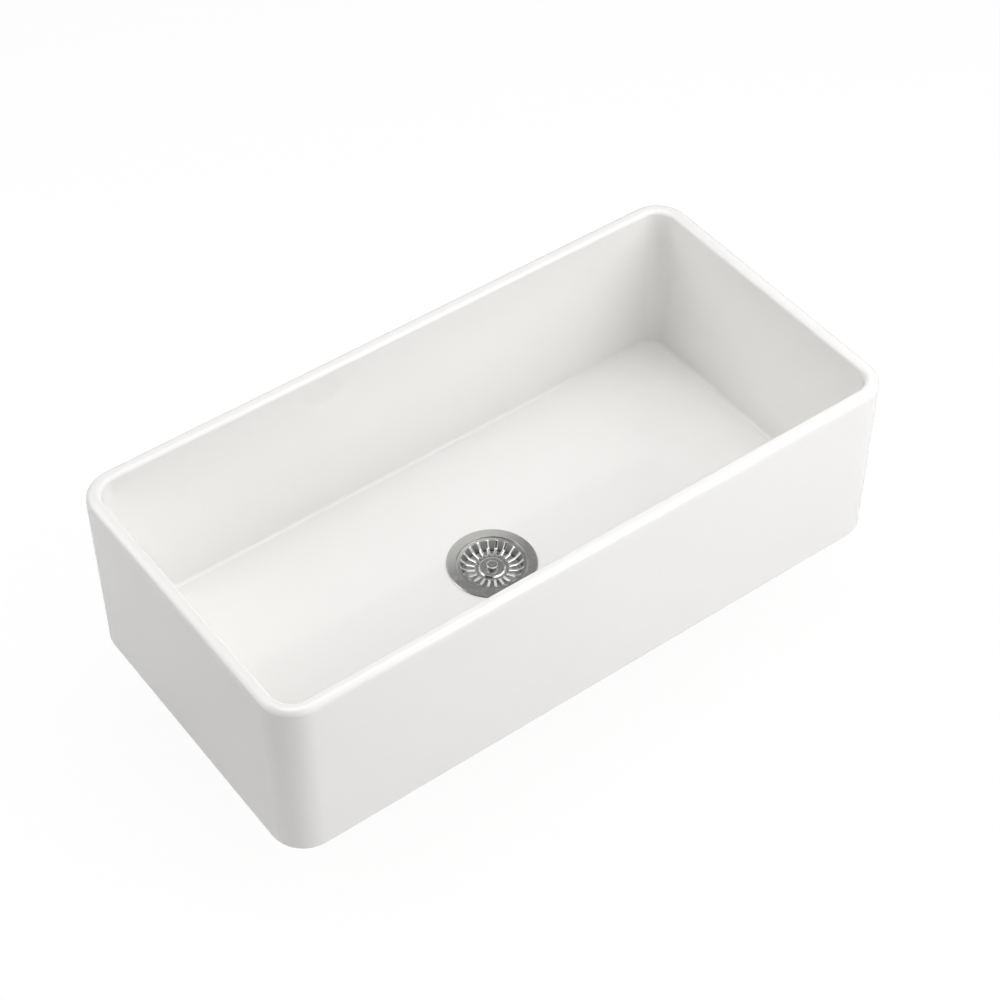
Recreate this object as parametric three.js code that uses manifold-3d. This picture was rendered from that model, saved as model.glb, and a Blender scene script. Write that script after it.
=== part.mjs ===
// A farmhouse (apron front) kitchen sink: one fireclay basin and the basket strainer waste in its outlet.
// Millimetres. +Z is up, +X runs along the length and -Y is the apron front.
// The origin is on the outlet's axis, in the plane of the basin's underside.

import * as THREE from "three";
import { mergeVertices } from "three/addons/utils/BufferGeometryUtils.js";
import Module from "manifold-3d";

const wasm = await Module();
wasm.setup();

// ---------------------------------------------------------------- basin
const BASIN_LENGTH = 914.4;
const BASIN_WIDTH = 457.2;
const BASIN_HEIGHT = 254;
const WALL = 19;
const CORNER_RADIUS = 46.5; // outer vertical corners
const RIM_OUTER_ROUND = 11.5;
const RIM_INNER_ROUND = 6;
const FOOT_ROUND = 3.5;
const CREASE_ROUND = 7; // where the walls meet the floor
const FLOOR_THICKNESS = 15; // at the outlet
const FLOOR_FALL = 1.5; // from the walls to the outlet

// ---------------------------------------------------------------- outlet in the floor
const OUTLET_RADIUS = 45;
const OUTLET_CHAMFER = 1.5;
const THROAT_ROUND = 6; // at the top of the outlet
const RECESS_DEPTH = 1.5; // holds the gasket, hidden under the flange
const GASKET_WIDTH = 5.45;
const RELIEF_DEPTH = 1.5; // in the underside, round the outlet, for the clamping set
const RELIEF_CLEARANCE = 4; // past the locknut's lugs

// ---------------------------------------------------------------- strainer body
const FLANGE_OVERLAP = 2.4; // turned-down edge, past the recess
const FLANGE_EDGE_HEIGHT = 1.6; // top of the flange's edge above the floor
const FLANGE_RISE = 0.4; // from the edge to the mouth
const FLANGE_THICKNESS = 0.9;
const FLANGE_CHAMFER = 0.8;
const MOUTH_FLARE = 1.3; // how much wider than the outlet the mouth is
const MOUTH_DEPTH = 2.9; // from the flange down to the ledge that carries the basket
const NECK_CLEARANCE = 1.2; // to the outlet, all round
const NECK_WALL = 2.2;
const SPARE_THREAD = 6.5; // of the neck, below the locknut
const SEAT_WIDTH = 10.6; // of the stopper's conical seat
const SEAT_DROP = 5; // height of that cone
const SEAT_RISE = 12.7; // top of the cone above the neck's lower end
const PAN_DEPTH = 1.3; // of the cup's bottom below the neck's lower end
const PLATE_THICKNESS = 3;
const SPUD_RADIUS = 23; // threaded outlet spigot
const SPUD_BORE = 18.5;
const SPUD_SHOULDER = 5; // plain part between the plate and the thread
const SPUD_SPARE_THREAD = 1; // above the coupling nut
const PORTS = 6;
const PORT_RADIUS = 4.2;
const HUB_RADIUS = 8;
const HUB_RISE = 4; // above the plate
const HUB_DROP = 3; // below the plate

// ---------------------------------------------------------------- clamping set and outlet tube
const GASKET_THICKNESS = 1.5;
const SINK_WASHER_THICKNESS = 3.5;
const SINK_WASHER_WIDTH = 11.9;
const FRICTION_RING_THICKNESS = 0.8;
const FRICTION_RING_WIDTH = 11.4;
const LOCKNUT_HEIGHT = 9;
const LOCKNUT_WIDTH = 6.4; // of its plain ring
const LOCKNUT_FLANGE_WIDTH = 10.5;
const LOCKNUT_FLANGE_THICKNESS = 2;
const LUGS = 6;
const LUG_WIDTH = 11;
const LUG_REACH = 13; // from the neck
const TAIL_WASHER_THICKNESS = 1.8;
const TAIL_RADIUS = 19.05; // 1 1/2 in tube
const TAIL_WALL = 1.2;
const TAIL_FLANGE_CLEARANCE = 0.9; // to the coupling nut's bore
const TAIL_FLANGE_THICKNESS = 1.2;
const TAIL_LENGTH = 101.6;
const COUPLING_NUT_FLATS = 56; // across the flats
const COUPLING_NUT_LIP = 2.3;
const COUPLING_NUT_ENGAGEMENT = 13; // of its thread on the spud

// ---------------------------------------------------------------- basket
const BASKET_CLEARANCE = 0.4; // to the mouth, all round
const BASKET_SHEET = 0.9;
const RING_WIDTH = 5.7;
const BASKET_DEPTH = 7.2; // from the ring down to the foot of its wall
const WALL_RUN = 7; // how far the wall leans in
const BASKET_DISH = 1.8; // from the wall's foot to the centre
const SLOTS = 20;
const STRIP_WIDTH = 3.3; // metal between two slots
const SLOT_INNER_RADIUS = 21.75;
const SLOT_CORNER = 1.2;
const PLATE_RADIUS = 18; // raised disc in the basket's centre
const PLATE_HEIGHT = 1.8;
const PLATE_ROUND = 1.5; // of its upper edge
const STEM_RADIUS = 3;
const STEM_TOP_RADIUS = 2.3;
const STEM_EXPOSED = 3; // between the centre plate and the knob
const COLLAR_RADIUS = 4.2;
const COLLAR_HEIGHT = 0.9;
const KNOB_RADIUS = 7.3;
const KNOB_HEIGHT = 3;
const KNOB_SOCKET_DEPTH = 1.8;

// ---------------------------------------------------------------- stopper and stem end
const STOPPER_TOP_RADIUS = 16;
const STOPPER_WAIST_RADIUS = 19;
const STOPPER_LIP_INSET = 4.8; // from the cup's wall
const STOPPER_LIP_WIDTH = 3.4;
const STOPPER_LIP_THICKNESS = 2.2;
const STOPPER_SHELL = 3.2;
const STOPPER_CORE = 9.7; // rubber between the basket and the backing washer
const STOPPER_WASHER_RADIUS = 11;
const STOPPER_WASHER_THICKNESS = 1.2;
const STEM_NUT_FLATS = 10;
const STEM_NUT_HEIGHT = 3.5;
const BUSH_WALL = 1.4;
const BUSH_FLANGE_THICKNESS = 1.2;
const O_RING_SECTION = 1.6;
const O_RING_CLEARANCE = 0.25; // to its groove and to the bush
const STEM_END = 1.2; // past the hub

// ---------------------------------------------------------------- fits
const GAP = 0.3; // between two faces that touch
const HOLE_CLEARANCE = 0.3; // round a stem, neck or thread

// ---------------------------------------------------------------- levels, from the floor down
const flangeEdgeZ = FLOOR_THICKNESS + FLANGE_EDGE_HEIGHT;
const mouthZ = flangeEdgeZ + FLANGE_RISE;
const ledgeZ = mouthZ - MOUTH_DEPTH;
const recessZ = FLOOR_THICKNESS - RECESS_DEPTH;

const sinkWasherTop = RELIEF_DEPTH - GAP;
const frictionRingTop = sinkWasherTop - SINK_WASHER_THICKNESS - GAP;
const locknutTop = frictionRingTop - FRICTION_RING_THICKNESS - GAP;
const locknutBottom = locknutTop - LOCKNUT_HEIGHT;
const neckBottom = locknutBottom - SPARE_THREAD;
const seatTop = neckBottom + SEAT_RISE;
const seatBottom = seatTop - SEAT_DROP;
const plateTop = neckBottom - PAN_DEPTH;
const plateBottom = plateTop - PLATE_THICKNESS;
const hubTop = plateTop + HUB_RISE;
const hubBottom = plateBottom - HUB_DROP;
const spudThreadTop = plateBottom - SPUD_SHOULDER;
const spudBottom = spudThreadTop - SPUD_SPARE_THREAD - COUPLING_NUT_ENGAGEMENT;
const tailWasherTop = spudBottom - GAP;
const tailTop = tailWasherTop - TAIL_WASHER_THICKNESS - GAP;

const ringTop = ledgeZ + GAP + BASKET_SHEET;
const wallFootZ = ringTop - BASKET_DEPTH;
const basketCentreZ = wallFootZ - BASKET_DISH;
const centrePlateBottom = basketCentreZ + GAP;
const centrePlateTop = centrePlateBottom + PLATE_HEIGHT;
const collarBottom = centrePlateTop + GAP;
const knobBottom = centrePlateTop + STEM_EXPOSED;
const stopperTop = basketCentreZ - BASKET_SHEET - GAP;
const stopperCoreBottom = stopperTop - STOPPER_CORE;
const stopperWasherTop = stopperCoreBottom - GAP;
const stemNutTop = stopperWasherTop - STOPPER_WASHER_THICKNESS - GAP;
const stemTip = hubBottom - STEM_END;
const oRingZ = (hubTop + hubBottom) / 2;

// ---------------------------------------------------------------- radii that follow
const neckRadius = OUTLET_RADIUS - NECK_CLEARANCE;
const cupRadius = neckRadius - NECK_WALL;
const seatRadius = cupRadius - SEAT_WIDTH;
const recessFloorInner = OUTLET_RADIUS + THROAT_ROUND;
const gasketInner = recessFloorInner + GAP;
const gasketOuter = gasketInner + GASKET_WIDTH;
const recessRadius = gasketOuter + 2 * GAP;
const flangeRadius = recessRadius + FLANGE_OVERLAP;
const mouthRadius = OUTLET_RADIUS + MOUTH_FLARE;
const neckHole = neckRadius + HOLE_CLEARANCE;
const stemHole = STEM_RADIUS + HOLE_CLEARANCE;
const basketRadius = mouthRadius - BASKET_CLEARANCE;
const ringInner = basketRadius - RING_WIDTH;
const wallFootRadius = ringInner - WALL_RUN;
const oRingRadius = STEM_RADIUS + O_RING_CLEARANCE; // of the section's centre
const grooveRadius = oRingRadius - O_RING_SECTION / 2 - O_RING_CLEARANCE;
const bushBore = oRingRadius + O_RING_SECTION / 2 + O_RING_CLEARANCE;
const bushRadius = bushBore + BUSH_WALL;
const lipRadius = cupRadius - STOPPER_LIP_INSET;
const reliefRadius = neckHole + LUG_REACH + RELIEF_CLEARANCE;
const spudHole = SPUD_RADIUS + HOLE_CLEARANCE;
const tailFlangeRadius = spudHole - TAIL_FLANGE_CLEARANCE;

// ---------------------------------------------------------------- materials
const finish = (color, roughness, metalness) =>
  new THREE.MeshStandardMaterial({ color, roughness, metalness });

const GLAZE = finish(0xf1f1ee, 0.12, 0);
const SATIN_STEEL = finish(0x9b9b98, 0.32, 1);
const POLISHED_STEEL = finish(0xc9cac9, 0.12, 1);
const CHROME = finish(0xd4d6d8, 0.07, 1);
const BRASS = finish(0xb08d4f, 0.3, 1);
const ZINC = finish(0x8f9294, 0.45, 1);
const BLACK_RUBBER = finish(0x1b1b1c, 0.75, 0);
const GREY_RUBBER = finish(0x4a4b4c, 0.8, 0);
const FIBRE = finish(0xa8794a, 0.9, 0);
const NYLON = finish(0xe6e4dc, 0.5, 0);

// ---------------------------------------------------------------- geometry helpers
const point = (x, y) => new THREE.Vector2(x, y);

/** Number of facets for a round of this radius: a multiple of four, finer where it is larger. */
const facets = (radius) => 4 * Math.ceil((6 + radius / 1.6) / 4 + 1);

/** Points of an arc about (cx, cy), both ends included. Angles in degrees. */
function arc(cx, cy, radius, from, to, steps) {
  return Array.from({ length: steps + 1 }, (_, i) => {
    const angle = THREE.MathUtils.degToRad(from + ((to - from) * i) / steps);
    return point(cx + radius * Math.cos(angle), cy + radius * Math.sin(angle));
  });
}

/** The outline moved sideways to its right by a distance, with mitred corners. */
function offset(points, distance) {
  return points.map((here, i) => {
    const before = points[Math.max(i - 1, 0)];
    const after = points[Math.min(i + 1, points.length - 1)];
    const into = i > 0 ? here.clone().sub(before).normalize() : null;
    const out = i < points.length - 1 ? after.clone().sub(here).normalize() : null;
    const a = into ?? out;
    const b = out ?? into;
    const normal = point(a.y + b.y, -a.x - b.x).normalize();
    const mitre = normal.dot(point(a.y, -a.x));
    return here.clone().addScaledVector(normal, distance / mitre);
  });
}

/** The same geometry with only positions, and one vertex where several meet. */
function bare(geometry) {
  const copy = geometry.index ? geometry.toNonIndexed() : geometry.clone();
  copy.deleteAttribute("normal");
  copy.deleteAttribute("uv");
  return mergeVertices(copy, 1e-4);
}

/** A turned piece about Z, from (radius, z) points in either direction. */
function turned(profile, sides = facets(Math.max(...profile.map((p) => p.x)))) {
  const outline = profile.map((p) => p.clone());
  const onAxis = outline[0].x === 0 && outline.at(-1).x === 0;
  if (!onAxis) outline.push(outline[0].clone());
  if (THREE.ShapeUtils.area(outline) < 0) outline.reverse();
  return bare(new THREE.LatheGeometry(outline, sides).rotateX(Math.PI / 2));
}

/** A flat ring between two radii and two levels. */
const ring = (inner, outer, bottom, top) =>
  turned([point(inner, bottom), point(outer, bottom), point(outer, top), point(inner, top)]);

/** A prism of an outline in the XY plane. */
function prism(outline, bottom, top, bevel = 0) {
  const body = new THREE.ExtrudeGeometry(new THREE.Shape(outline), {
    depth: top - bottom - 2 * bevel,
    bevelEnabled: bevel > 0,
    bevelThickness: bevel,
    bevelSize: bevel,
    bevelOffset: -bevel,
    bevelSegments: 1,
  });
  return bare(body.translate(0, 0, bottom + bevel));
}

/** Corners of a regular hexagon given across its flats. */
const hexagon = (flats) => arc(0, 0, flats / Math.sqrt(3), 0, 300, 5);

const toSolid = (geometry) =>
  new wasm.Manifold(
    new wasm.Mesh({
      numProp: 3,
      vertProperties: new Float32Array(geometry.attributes.position.array),
      triVerts: new Uint32Array(geometry.index.array),
    }),
  );

function toGeometry(solid) {
  const mesh = solid.getMesh();
  const geometry = new THREE.BufferGeometry();
  geometry.setAttribute("position", new THREE.BufferAttribute(mesh.vertProperties, 3));
  geometry.setIndex(new THREE.BufferAttribute(mesh.triVerts, 1));
  return geometry;
}

/** The first geometry with others joined to it and others cut from it. */
function carve(base, { joined = [], cut = [] }) {
  let solid = toSolid(base);
  for (const piece of joined) solid = solid.add(toSolid(piece));
  for (const piece of cut) solid = solid.subtract(toSolid(piece));
  return toGeometry(solid);
}

/** Copies of a geometry turned about Z, evenly spaced. */
const aroundZ = (geometry, count) =>
  Array.from({ length: count }, (_, i) => geometry.clone().rotateZ((2 * Math.PI * i) / count));

// ---------------------------------------------------------------- basin
const CORNER_STEPS = 7;
const SIDE_STEP = 7.5; // degrees about the outlet, along the straight sides

/**
 * Loops of the basin: a rounded rectangle and a circle with the same number of points, at the same
 * angles about the outlet, so that one can be blended into the other.
 */
function basinLoops() {
  const halfLength = BASIN_LENGTH / 2;
  const halfWidth = BASIN_WIDTH / 2;
  const cornerX = halfLength - CORNER_RADIUS;
  const cornerY = halfWidth - CORNER_RADIUS;
  const quarter = [];
  const endAngle = THREE.MathUtils.radToDeg(Math.atan2(cornerY, halfLength - WALL));
  const endSteps = Math.ceil(endAngle / SIDE_STEP);
  for (let i = 0; i < endSteps; i += 1) {
    const angle = THREE.MathUtils.degToRad((endAngle * i) / endSteps);
    quarter.push({ x: cornerX, y: (halfLength - WALL) * Math.tan(angle), turn: 0 });
  }
  for (let i = 0; i <= CORNER_STEPS; i += 1) {
    quarter.push({ x: cornerX, y: cornerY, turn: (Math.PI / 2) * (i / CORNER_STEPS) });
  }
  const sideAngle = THREE.MathUtils.radToDeg(Math.atan2(cornerX, halfWidth - WALL));
  const sideSteps = Math.ceil(sideAngle / SIDE_STEP);
  for (let i = sideSteps - 1; i >= 0; i -= 1) {
    const angle = THREE.MathUtils.degToRad((sideAngle * i) / sideSteps);
    quarter.push({ x: (halfWidth - WALL) * Math.tan(angle), y: cornerY, turn: Math.PI / 2 });
  }
  const anchors = [
    ...quarter,
    ...quarter.slice(0, -1).reverse().map((a) => ({ x: -a.x, y: a.y, turn: Math.PI - a.turn })),
    ...quarter.slice(1).map((a) => ({ x: -a.x, y: -a.y, turn: Math.PI + a.turn })),
    ...quarter.slice(1, -1).reverse().map((a) => ({ x: a.x, y: -a.y, turn: -a.turn })),
  ];
  const rectangle = (inset, z) =>
    anchors.map(
      ({ x, y, turn }) =>
        new THREE.Vector3(
          x + (CORNER_RADIUS - inset) * Math.cos(turn),
          y + (CORNER_RADIUS - inset) * Math.sin(turn),
          z,
        ),
    );
  const circle = (radius, z) => rectangle(WALL, 0).map((p) => p.setLength(radius).setZ(z));
  return { rectangle, circle };
}

/** A closed skin through a cycle of loops with equally many points. */
function skin(loops) {
  const count = loops[0].length;
  const positions = loops.flat().flatMap((p) => [p.x, p.y, p.z]);
  const faces = [];
  loops.forEach((_, k) => {
    const low = k * count;
    const high = ((k + 1) % loops.length) * count;
    for (let i = 0; i < count; i += 1) {
      const j = (i + 1) % count;
      faces.push(low + i, low + j, high + i, low + j, high + j, high + i);
    }
  });
  const geometry = new THREE.BufferGeometry();
  geometry.setAttribute("position", new THREE.Float32BufferAttribute(positions, 3));
  geometry.setIndex(faces);
  return geometry;
}

function basinGeometry() {
  const { rectangle, circle } = basinLoops();
  const foot = arc(FOOT_ROUND, FOOT_ROUND, FOOT_ROUND, -90, -180, 3);
  const rimOuter = arc(RIM_OUTER_ROUND, BASIN_HEIGHT - RIM_OUTER_ROUND, RIM_OUTER_ROUND, 180, 90, 5);
  const rimInner = arc(
    WALL - RIM_INNER_ROUND, BASIN_HEIGHT - RIM_INNER_ROUND, RIM_INNER_ROUND, 90, 0, 4,
  );
  const creaseZ = FLOOR_THICKNESS + FLOOR_FALL + CREASE_ROUND;
  const crease = arc(WALL + CREASE_ROUND, creaseZ, CREASE_ROUND, 180, 270, 4);
  const walls = [...foot, ...rimOuter, ...rimInner, ...crease].map((p) => rectangle(p.x, p.y));

  const landRadius = flangeRadius + FLANGE_OVERLAP;
  const floorEdge = walls.at(-1);
  const land = circle(landRadius, FLOOR_THICKNESS);
  const floor = [0.35, 0.7].map((share) =>
    floorEdge.map((p, i) => p.clone().lerp(land[i], share)),
  );
  const throat = arc(recessFloorInner, recessZ - THROAT_ROUND, THROAT_ROUND, 90, 180, 4);
  const outlet = [
    point(recessRadius, FLOOR_THICKNESS),
    point(recessRadius, recessZ),
    ...throat,
    point(OUTLET_RADIUS, RELIEF_DEPTH + OUTLET_CHAMFER),
    point(OUTLET_RADIUS + OUTLET_CHAMFER, RELIEF_DEPTH),
    point(reliefRadius, RELIEF_DEPTH),
    point(reliefRadius + RELIEF_DEPTH, 0),
  ].map((p) => circle(p.x, p.y));
  return skin([...walls, ...floor, land, ...outlet]);
}

// ---------------------------------------------------------------- strainer body and its hub
function strainerBodyGeometry() {
  const lipInner = flangeRadius - FLANGE_OVERLAP / 2;
  const edge = [
    point(flangeRadius, flangeEdgeZ - FLANGE_CHAMFER),
    point(flangeRadius - FLANGE_CHAMFER, flangeEdgeZ),
  ];
  const mouth = arc(mouthRadius + 0.6, mouthZ - 0.6, 0.6, 90, 180, 3);
  const inside = [
    point(mouthRadius, ledgeZ),
    point(cupRadius + 0.8, ledgeZ),
    point(cupRadius, ledgeZ - 0.8),
    point(cupRadius, seatTop),
    point(seatRadius, seatBottom),
    point(seatRadius - 1.5, seatBottom - 1.5),
    point(SPUD_BORE + 1, plateTop),
    point(0, plateTop),
  ];
  const outside = [
    point(0, plateBottom),
    point(SPUD_BORE, plateBottom),
    point(SPUD_BORE, spudBottom),
    point(SPUD_RADIUS, spudBottom),
    point(SPUD_RADIUS, spudThreadTop),
    point(SPUD_RADIUS + 1.5, spudThreadTop + 1.5),
    point(neckRadius - 3.5, neckBottom - 2.5),
    point(neckRadius, neckBottom),
    point(neckRadius, recessZ - THROAT_ROUND),
    point(neckRadius + 0.8, recessZ - THROAT_ROUND / 2),
    point(OUTLET_RADIUS + 1.2, recessZ - 0.8),
    point(recessFloorInner - 1.4, recessZ + 0.8),
    point(recessFloorInner - 0.4, mouthZ - FLANGE_RISE - FLANGE_THICKNESS + 0.15),
    point(lipInner - 0.6, flangeEdgeZ - FLANGE_THICKNESS + 0.15),
    point(lipInner, FLOOR_THICKNESS + GAP),
    point(flangeRadius, FLOOR_THICKNESS + GAP),
  ];
  const shell = turned([...outside, ...edge, ...mouth, ...inside], 44);
  const hub = turned([point(0, hubBottom), point(HUB_RADIUS, hubBottom), point(HUB_RADIUS, hubTop),
    point(0, hubTop)]);
  const portCentre = (HUB_RADIUS + SPUD_BORE) / 2;
  const port = turned([
    point(0, plateBottom - 1), point(PORT_RADIUS, plateBottom - 1),
    point(PORT_RADIUS, plateTop + 1), point(0, plateTop + 1),
  ], 12).translate(portCentre, 0, 0);
  const bore = turned([
    point(0, hubBottom - 1), point(bushRadius + GAP, hubBottom - 1),
    point(bushRadius + GAP, hubTop + 1), point(0, hubTop + 1),
  ]);
  return carve(shell, { joined: [hub], cut: [bore, ...aroundZ(port, PORTS)] });
}

function stemBushGeometry() {
  const flangeBottom = hubTop + GAP;
  const flangeTop = flangeBottom + BUSH_FLANGE_THICKNESS;
  return turned([
    point(bushBore, hubBottom), point(bushRadius, hubBottom), point(bushRadius, flangeBottom),
    point(HUB_RADIUS, flangeBottom), point(HUB_RADIUS, flangeTop - 0.4),
    point(HUB_RADIUS - 0.4, flangeTop), point(bushBore + 0.5, flangeTop),
    point(bushBore, flangeTop - 0.5),
  ]);
}

// ---------------------------------------------------------------- clamping set
function locknutGeometry() {
  const outer = neckHole + LOCKNUT_WIDTH;
  const flangeBottom = locknutTop - LOCKNUT_FLANGE_THICKNESS;
  const flange = neckHole + LOCKNUT_FLANGE_WIDTH;
  const core = turned([
    point(neckHole, locknutBottom), point(outer - 0.8, locknutBottom),
    point(outer, locknutBottom + 0.8), point(outer, flangeBottom), point(flange, flangeBottom),
    point(flange, locknutTop), point(neckHole, locknutTop),
  ]);
  const root = neckHole + LOCKNUT_WIDTH / 2;
  const reach = neckHole + LUG_REACH;
  const half = LUG_WIDTH / 2;
  const lug = prism([
    point(root, -half), point(reach - 2, -half * 0.7), point(reach, -half * 0.4),
    point(reach, half * 0.4), point(reach - 2, half * 0.7), point(root, half),
  ], locknutBottom, locknutTop - LOCKNUT_FLANGE_THICKNESS / 2, 0.6);
  return carve(core, { joined: aroundZ(lug, LUGS) });
}

function couplingNutGeometry() {
  const top = spudBottom + COUPLING_NUT_ENGAGEMENT;
  const lipTop = tailTop - TAIL_FLANGE_THICKNESS - GAP;
  const bottom = lipTop - COUPLING_NUT_LIP;
  const block = prism(hexagon(COUPLING_NUT_FLATS), bottom, top, 1);
  const tailHole = TAIL_RADIUS + HOLE_CLEARANCE;
  const inside = turned([
    point(0, bottom - 1), point(tailHole, bottom - 1), point(tailHole, lipTop),
    point(spudHole, lipTop), point(spudHole, top + 1), point(0, top + 1),
  ], 36);
  return carve(block, { cut: [inside] });
}

function tailpieceGeometry() {
  const bore = TAIL_RADIUS - TAIL_WALL;
  const bottom = tailTop - TAIL_LENGTH;
  const flangeBottom = tailTop - TAIL_FLANGE_THICKNESS;
  return turned([
    point(bore, bottom), point(TAIL_RADIUS, bottom), point(TAIL_RADIUS, flangeBottom),
    point(tailFlangeRadius, flangeBottom), point(tailFlangeRadius, tailTop),
    point(bore, tailTop),
  ], 36);
}

// ---------------------------------------------------------------- basket
/** Top face of the basket's sheet, from the ring's edge to the stem. */
function basketProfile() {
  return [
    point(basketRadius, ringTop - 0.5),
    point(basketRadius - 0.5, ringTop),
    point(ringInner + 1.2, ringTop),
    point(ringInner, ringTop - 0.6),
    point(wallFootRadius + 0.6, wallFootZ + 0.6),
    point(wallFootRadius - 1, wallFootZ),
    point(SLOT_INNER_RADIUS - 1, basketCentreZ + 0.1),
    point(stemHole, basketCentreZ),
  ];
}

/** One slot, centred on +X, between two strips of even width. */
function slotOutline() {
  const pitch = Math.PI / SLOTS;
  const side = (radius, sign) =>
    point(
      radius * Math.cos(pitch) + (STRIP_WIDTH / 2) * Math.sin(pitch),
      sign * (radius * Math.sin(pitch) - (STRIP_WIDTH / 2) * Math.cos(pitch)),
    );
  const slotOuter = ringInner - 0.7;
  const end = side(SLOT_INNER_RADIUS, 1).y * 0.5;
  return [
    point(SLOT_INNER_RADIUS, -end), side(SLOT_INNER_RADIUS + SLOT_CORNER, -1),
    side(slotOuter - SLOT_CORNER, -1), point(slotOuter, -side(slotOuter, 1).y + SLOT_CORNER),
    point(slotOuter, side(slotOuter, 1).y - SLOT_CORNER), side(slotOuter - SLOT_CORNER, 1),
    side(SLOT_INNER_RADIUS + SLOT_CORNER, 1), point(SLOT_INNER_RADIUS, end),
  ];
}

function basketBowlGeometry() {
  const top = basketProfile();
  const underside = offset(top.slice(1), -BASKET_SHEET);
  underside[0].set(basketRadius, ringTop - BASKET_SHEET);
  const sheet = turned([...top, ...underside.reverse()], 3 * SLOTS);
  const slot = prism(slotOutline(), basketCentreZ - 2 * BASKET_SHEET, ringTop + BASKET_SHEET);
  return carve(sheet, { cut: aroundZ(slot, SLOTS) });
}

function centrePlateGeometry() {
  const edge = arc(PLATE_RADIUS - PLATE_ROUND, centrePlateTop - PLATE_ROUND, PLATE_ROUND, 0, 90, 4);
  return turned([
    point(stemHole, centrePlateBottom), point(PLATE_RADIUS, centrePlateBottom), ...edge,
    point(stemHole, centrePlateTop),
  ]);
}

function stemGeometry() {
  const shoulder = collarBottom + COLLAR_HEIGHT;
  const groove = O_RING_SECTION / 2 + O_RING_CLEARANCE;
  const top = knobBottom + KNOB_SOCKET_DEPTH - GAP;
  return turned([
    point(0, stemTip), point(STEM_RADIUS * 0.6, stemTip), point(STEM_RADIUS, stemTip + 1.2),
    point(STEM_RADIUS, oRingZ - groove), point(grooveRadius, oRingZ - groove),
    point(grooveRadius, oRingZ + groove), point(STEM_RADIUS, oRingZ + groove),
    point(STEM_RADIUS, collarBottom), point(COLLAR_RADIUS, collarBottom),
    point(COLLAR_RADIUS, shoulder - 0.3), point(COLLAR_RADIUS - 0.3, shoulder),
    point(STEM_TOP_RADIUS, shoulder), point(STEM_TOP_RADIUS, top), point(0, top),
  ], 20);
}

function knobGeometry() {
  const socket = STEM_TOP_RADIUS + HOLE_CLEARANCE;
  const socketTop = knobBottom + KNOB_SOCKET_DEPTH;
  const top = knobBottom + KNOB_HEIGHT;
  return turned([
    point(0, socketTop), point(socket, socketTop), point(socket, knobBottom),
    point(KNOB_RADIUS - 1.4, knobBottom), point(KNOB_RADIUS - 0.3, knobBottom + 0.8),
    point(KNOB_RADIUS, knobBottom + 1.6), point(KNOB_RADIUS - 0.3, top - 0.7),
    point(KNOB_RADIUS - 1.2, top - 0.15), point(KNOB_RADIUS - 2.5, top), point(0, top),
  ], 28);
}

// ---------------------------------------------------------------- stopper and stem end
/** Height of the cup's conical seat at a radius. */
const seatHeight = (radius) =>
  seatTop - (SEAT_DROP * (cupRadius - radius)) / SEAT_WIDTH;

function stopperGeometry() {
  const rest = 1.5 * GAP;
  const lipOuter = point(lipRadius, seatHeight(lipRadius) + rest);
  const lipInnerRadius = lipRadius - STOPPER_LIP_WIDTH;
  const lipInner = point(lipInnerRadius, seatHeight(lipInnerRadius) + rest);
  const lipTop = lipOuter.y + STOPPER_LIP_THICKNESS;
  const waistZ = stopperCoreBottom + STOPPER_SHELL * 1.5;
  return turned([
    point(stemHole, stopperCoreBottom), point(STOPPER_WASHER_RADIUS + 2, stopperCoreBottom),
    point(lipInnerRadius - 1.6, lipInner.y + STOPPER_SHELL * 0.6), lipInner, lipOuter,
    point(lipRadius - 0.4, lipTop - 0.4), point(lipRadius - 1.6, lipTop),
    point(STOPPER_WAIST_RADIUS + 4, Math.max(waistZ - 1, lipTop + 1)),
    point(STOPPER_WAIST_RADIUS, Math.max(waistZ + 1, lipTop + 2)),
    point(STOPPER_TOP_RADIUS + 0.6, stopperTop - 0.8), point(STOPPER_TOP_RADIUS, stopperTop),
    point(stemHole, stopperTop),
  ]);
}

const stemNutGeometry = () =>
  carve(prism(hexagon(STEM_NUT_FLATS), stemNutTop - STEM_NUT_HEIGHT, stemNutTop, 0.4), {
    cut: [
      turned([
        point(0, stemNutTop - STEM_NUT_HEIGHT - 1), point(stemHole, stemNutTop - STEM_NUT_HEIGHT - 1),
        point(stemHole, stemNutTop + 1), point(0, stemNutTop + 1),
      ], 20),
    ],
  });

const oRingGeometry = () =>
  turned(arc(oRingRadius, oRingZ, O_RING_SECTION / 2, 0, 315, 7), 24);

// ---------------------------------------------------------------- assembly
function named(name, geometry, material) {
  const mesh = new THREE.Mesh(geometry, material);
  mesh.name = name;
  return mesh;
}

function waste() {
  const group = new THREE.Group();
  const ringAt = (outer, top, thickness) => ring(neckHole, outer, top - thickness, top);
  group.add(
    named("strainer_body", strainerBodyGeometry(), SATIN_STEEL),
    named("stem_bush", stemBushGeometry(), NYLON),
    named(
      "flange_gasket",
      ring(gasketInner, gasketOuter, recessZ + GAP, recessZ + GASKET_THICKNESS),
      BLACK_RUBBER,
    ),
    named(
      "sink_washer",
      ringAt(neckHole + SINK_WASHER_WIDTH, sinkWasherTop, SINK_WASHER_THICKNESS),
      BLACK_RUBBER,
    ),
    named(
      "friction_ring",
      ringAt(neckHole + FRICTION_RING_WIDTH, frictionRingTop, FRICTION_RING_THICKNESS),
      FIBRE,
    ),
    named("locknut", locknutGeometry(), ZINC),
    named(
      "tailpiece_washer",
      ring(TAIL_RADIUS - TAIL_WALL, tailFlangeRadius, tailWasherTop - TAIL_WASHER_THICKNESS,
        tailWasherTop),
      NYLON,
    ),
    named("coupling_nut", couplingNutGeometry(), ZINC),
    named("tailpiece", tailpieceGeometry(), CHROME),
  );
  return group;
}

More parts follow.
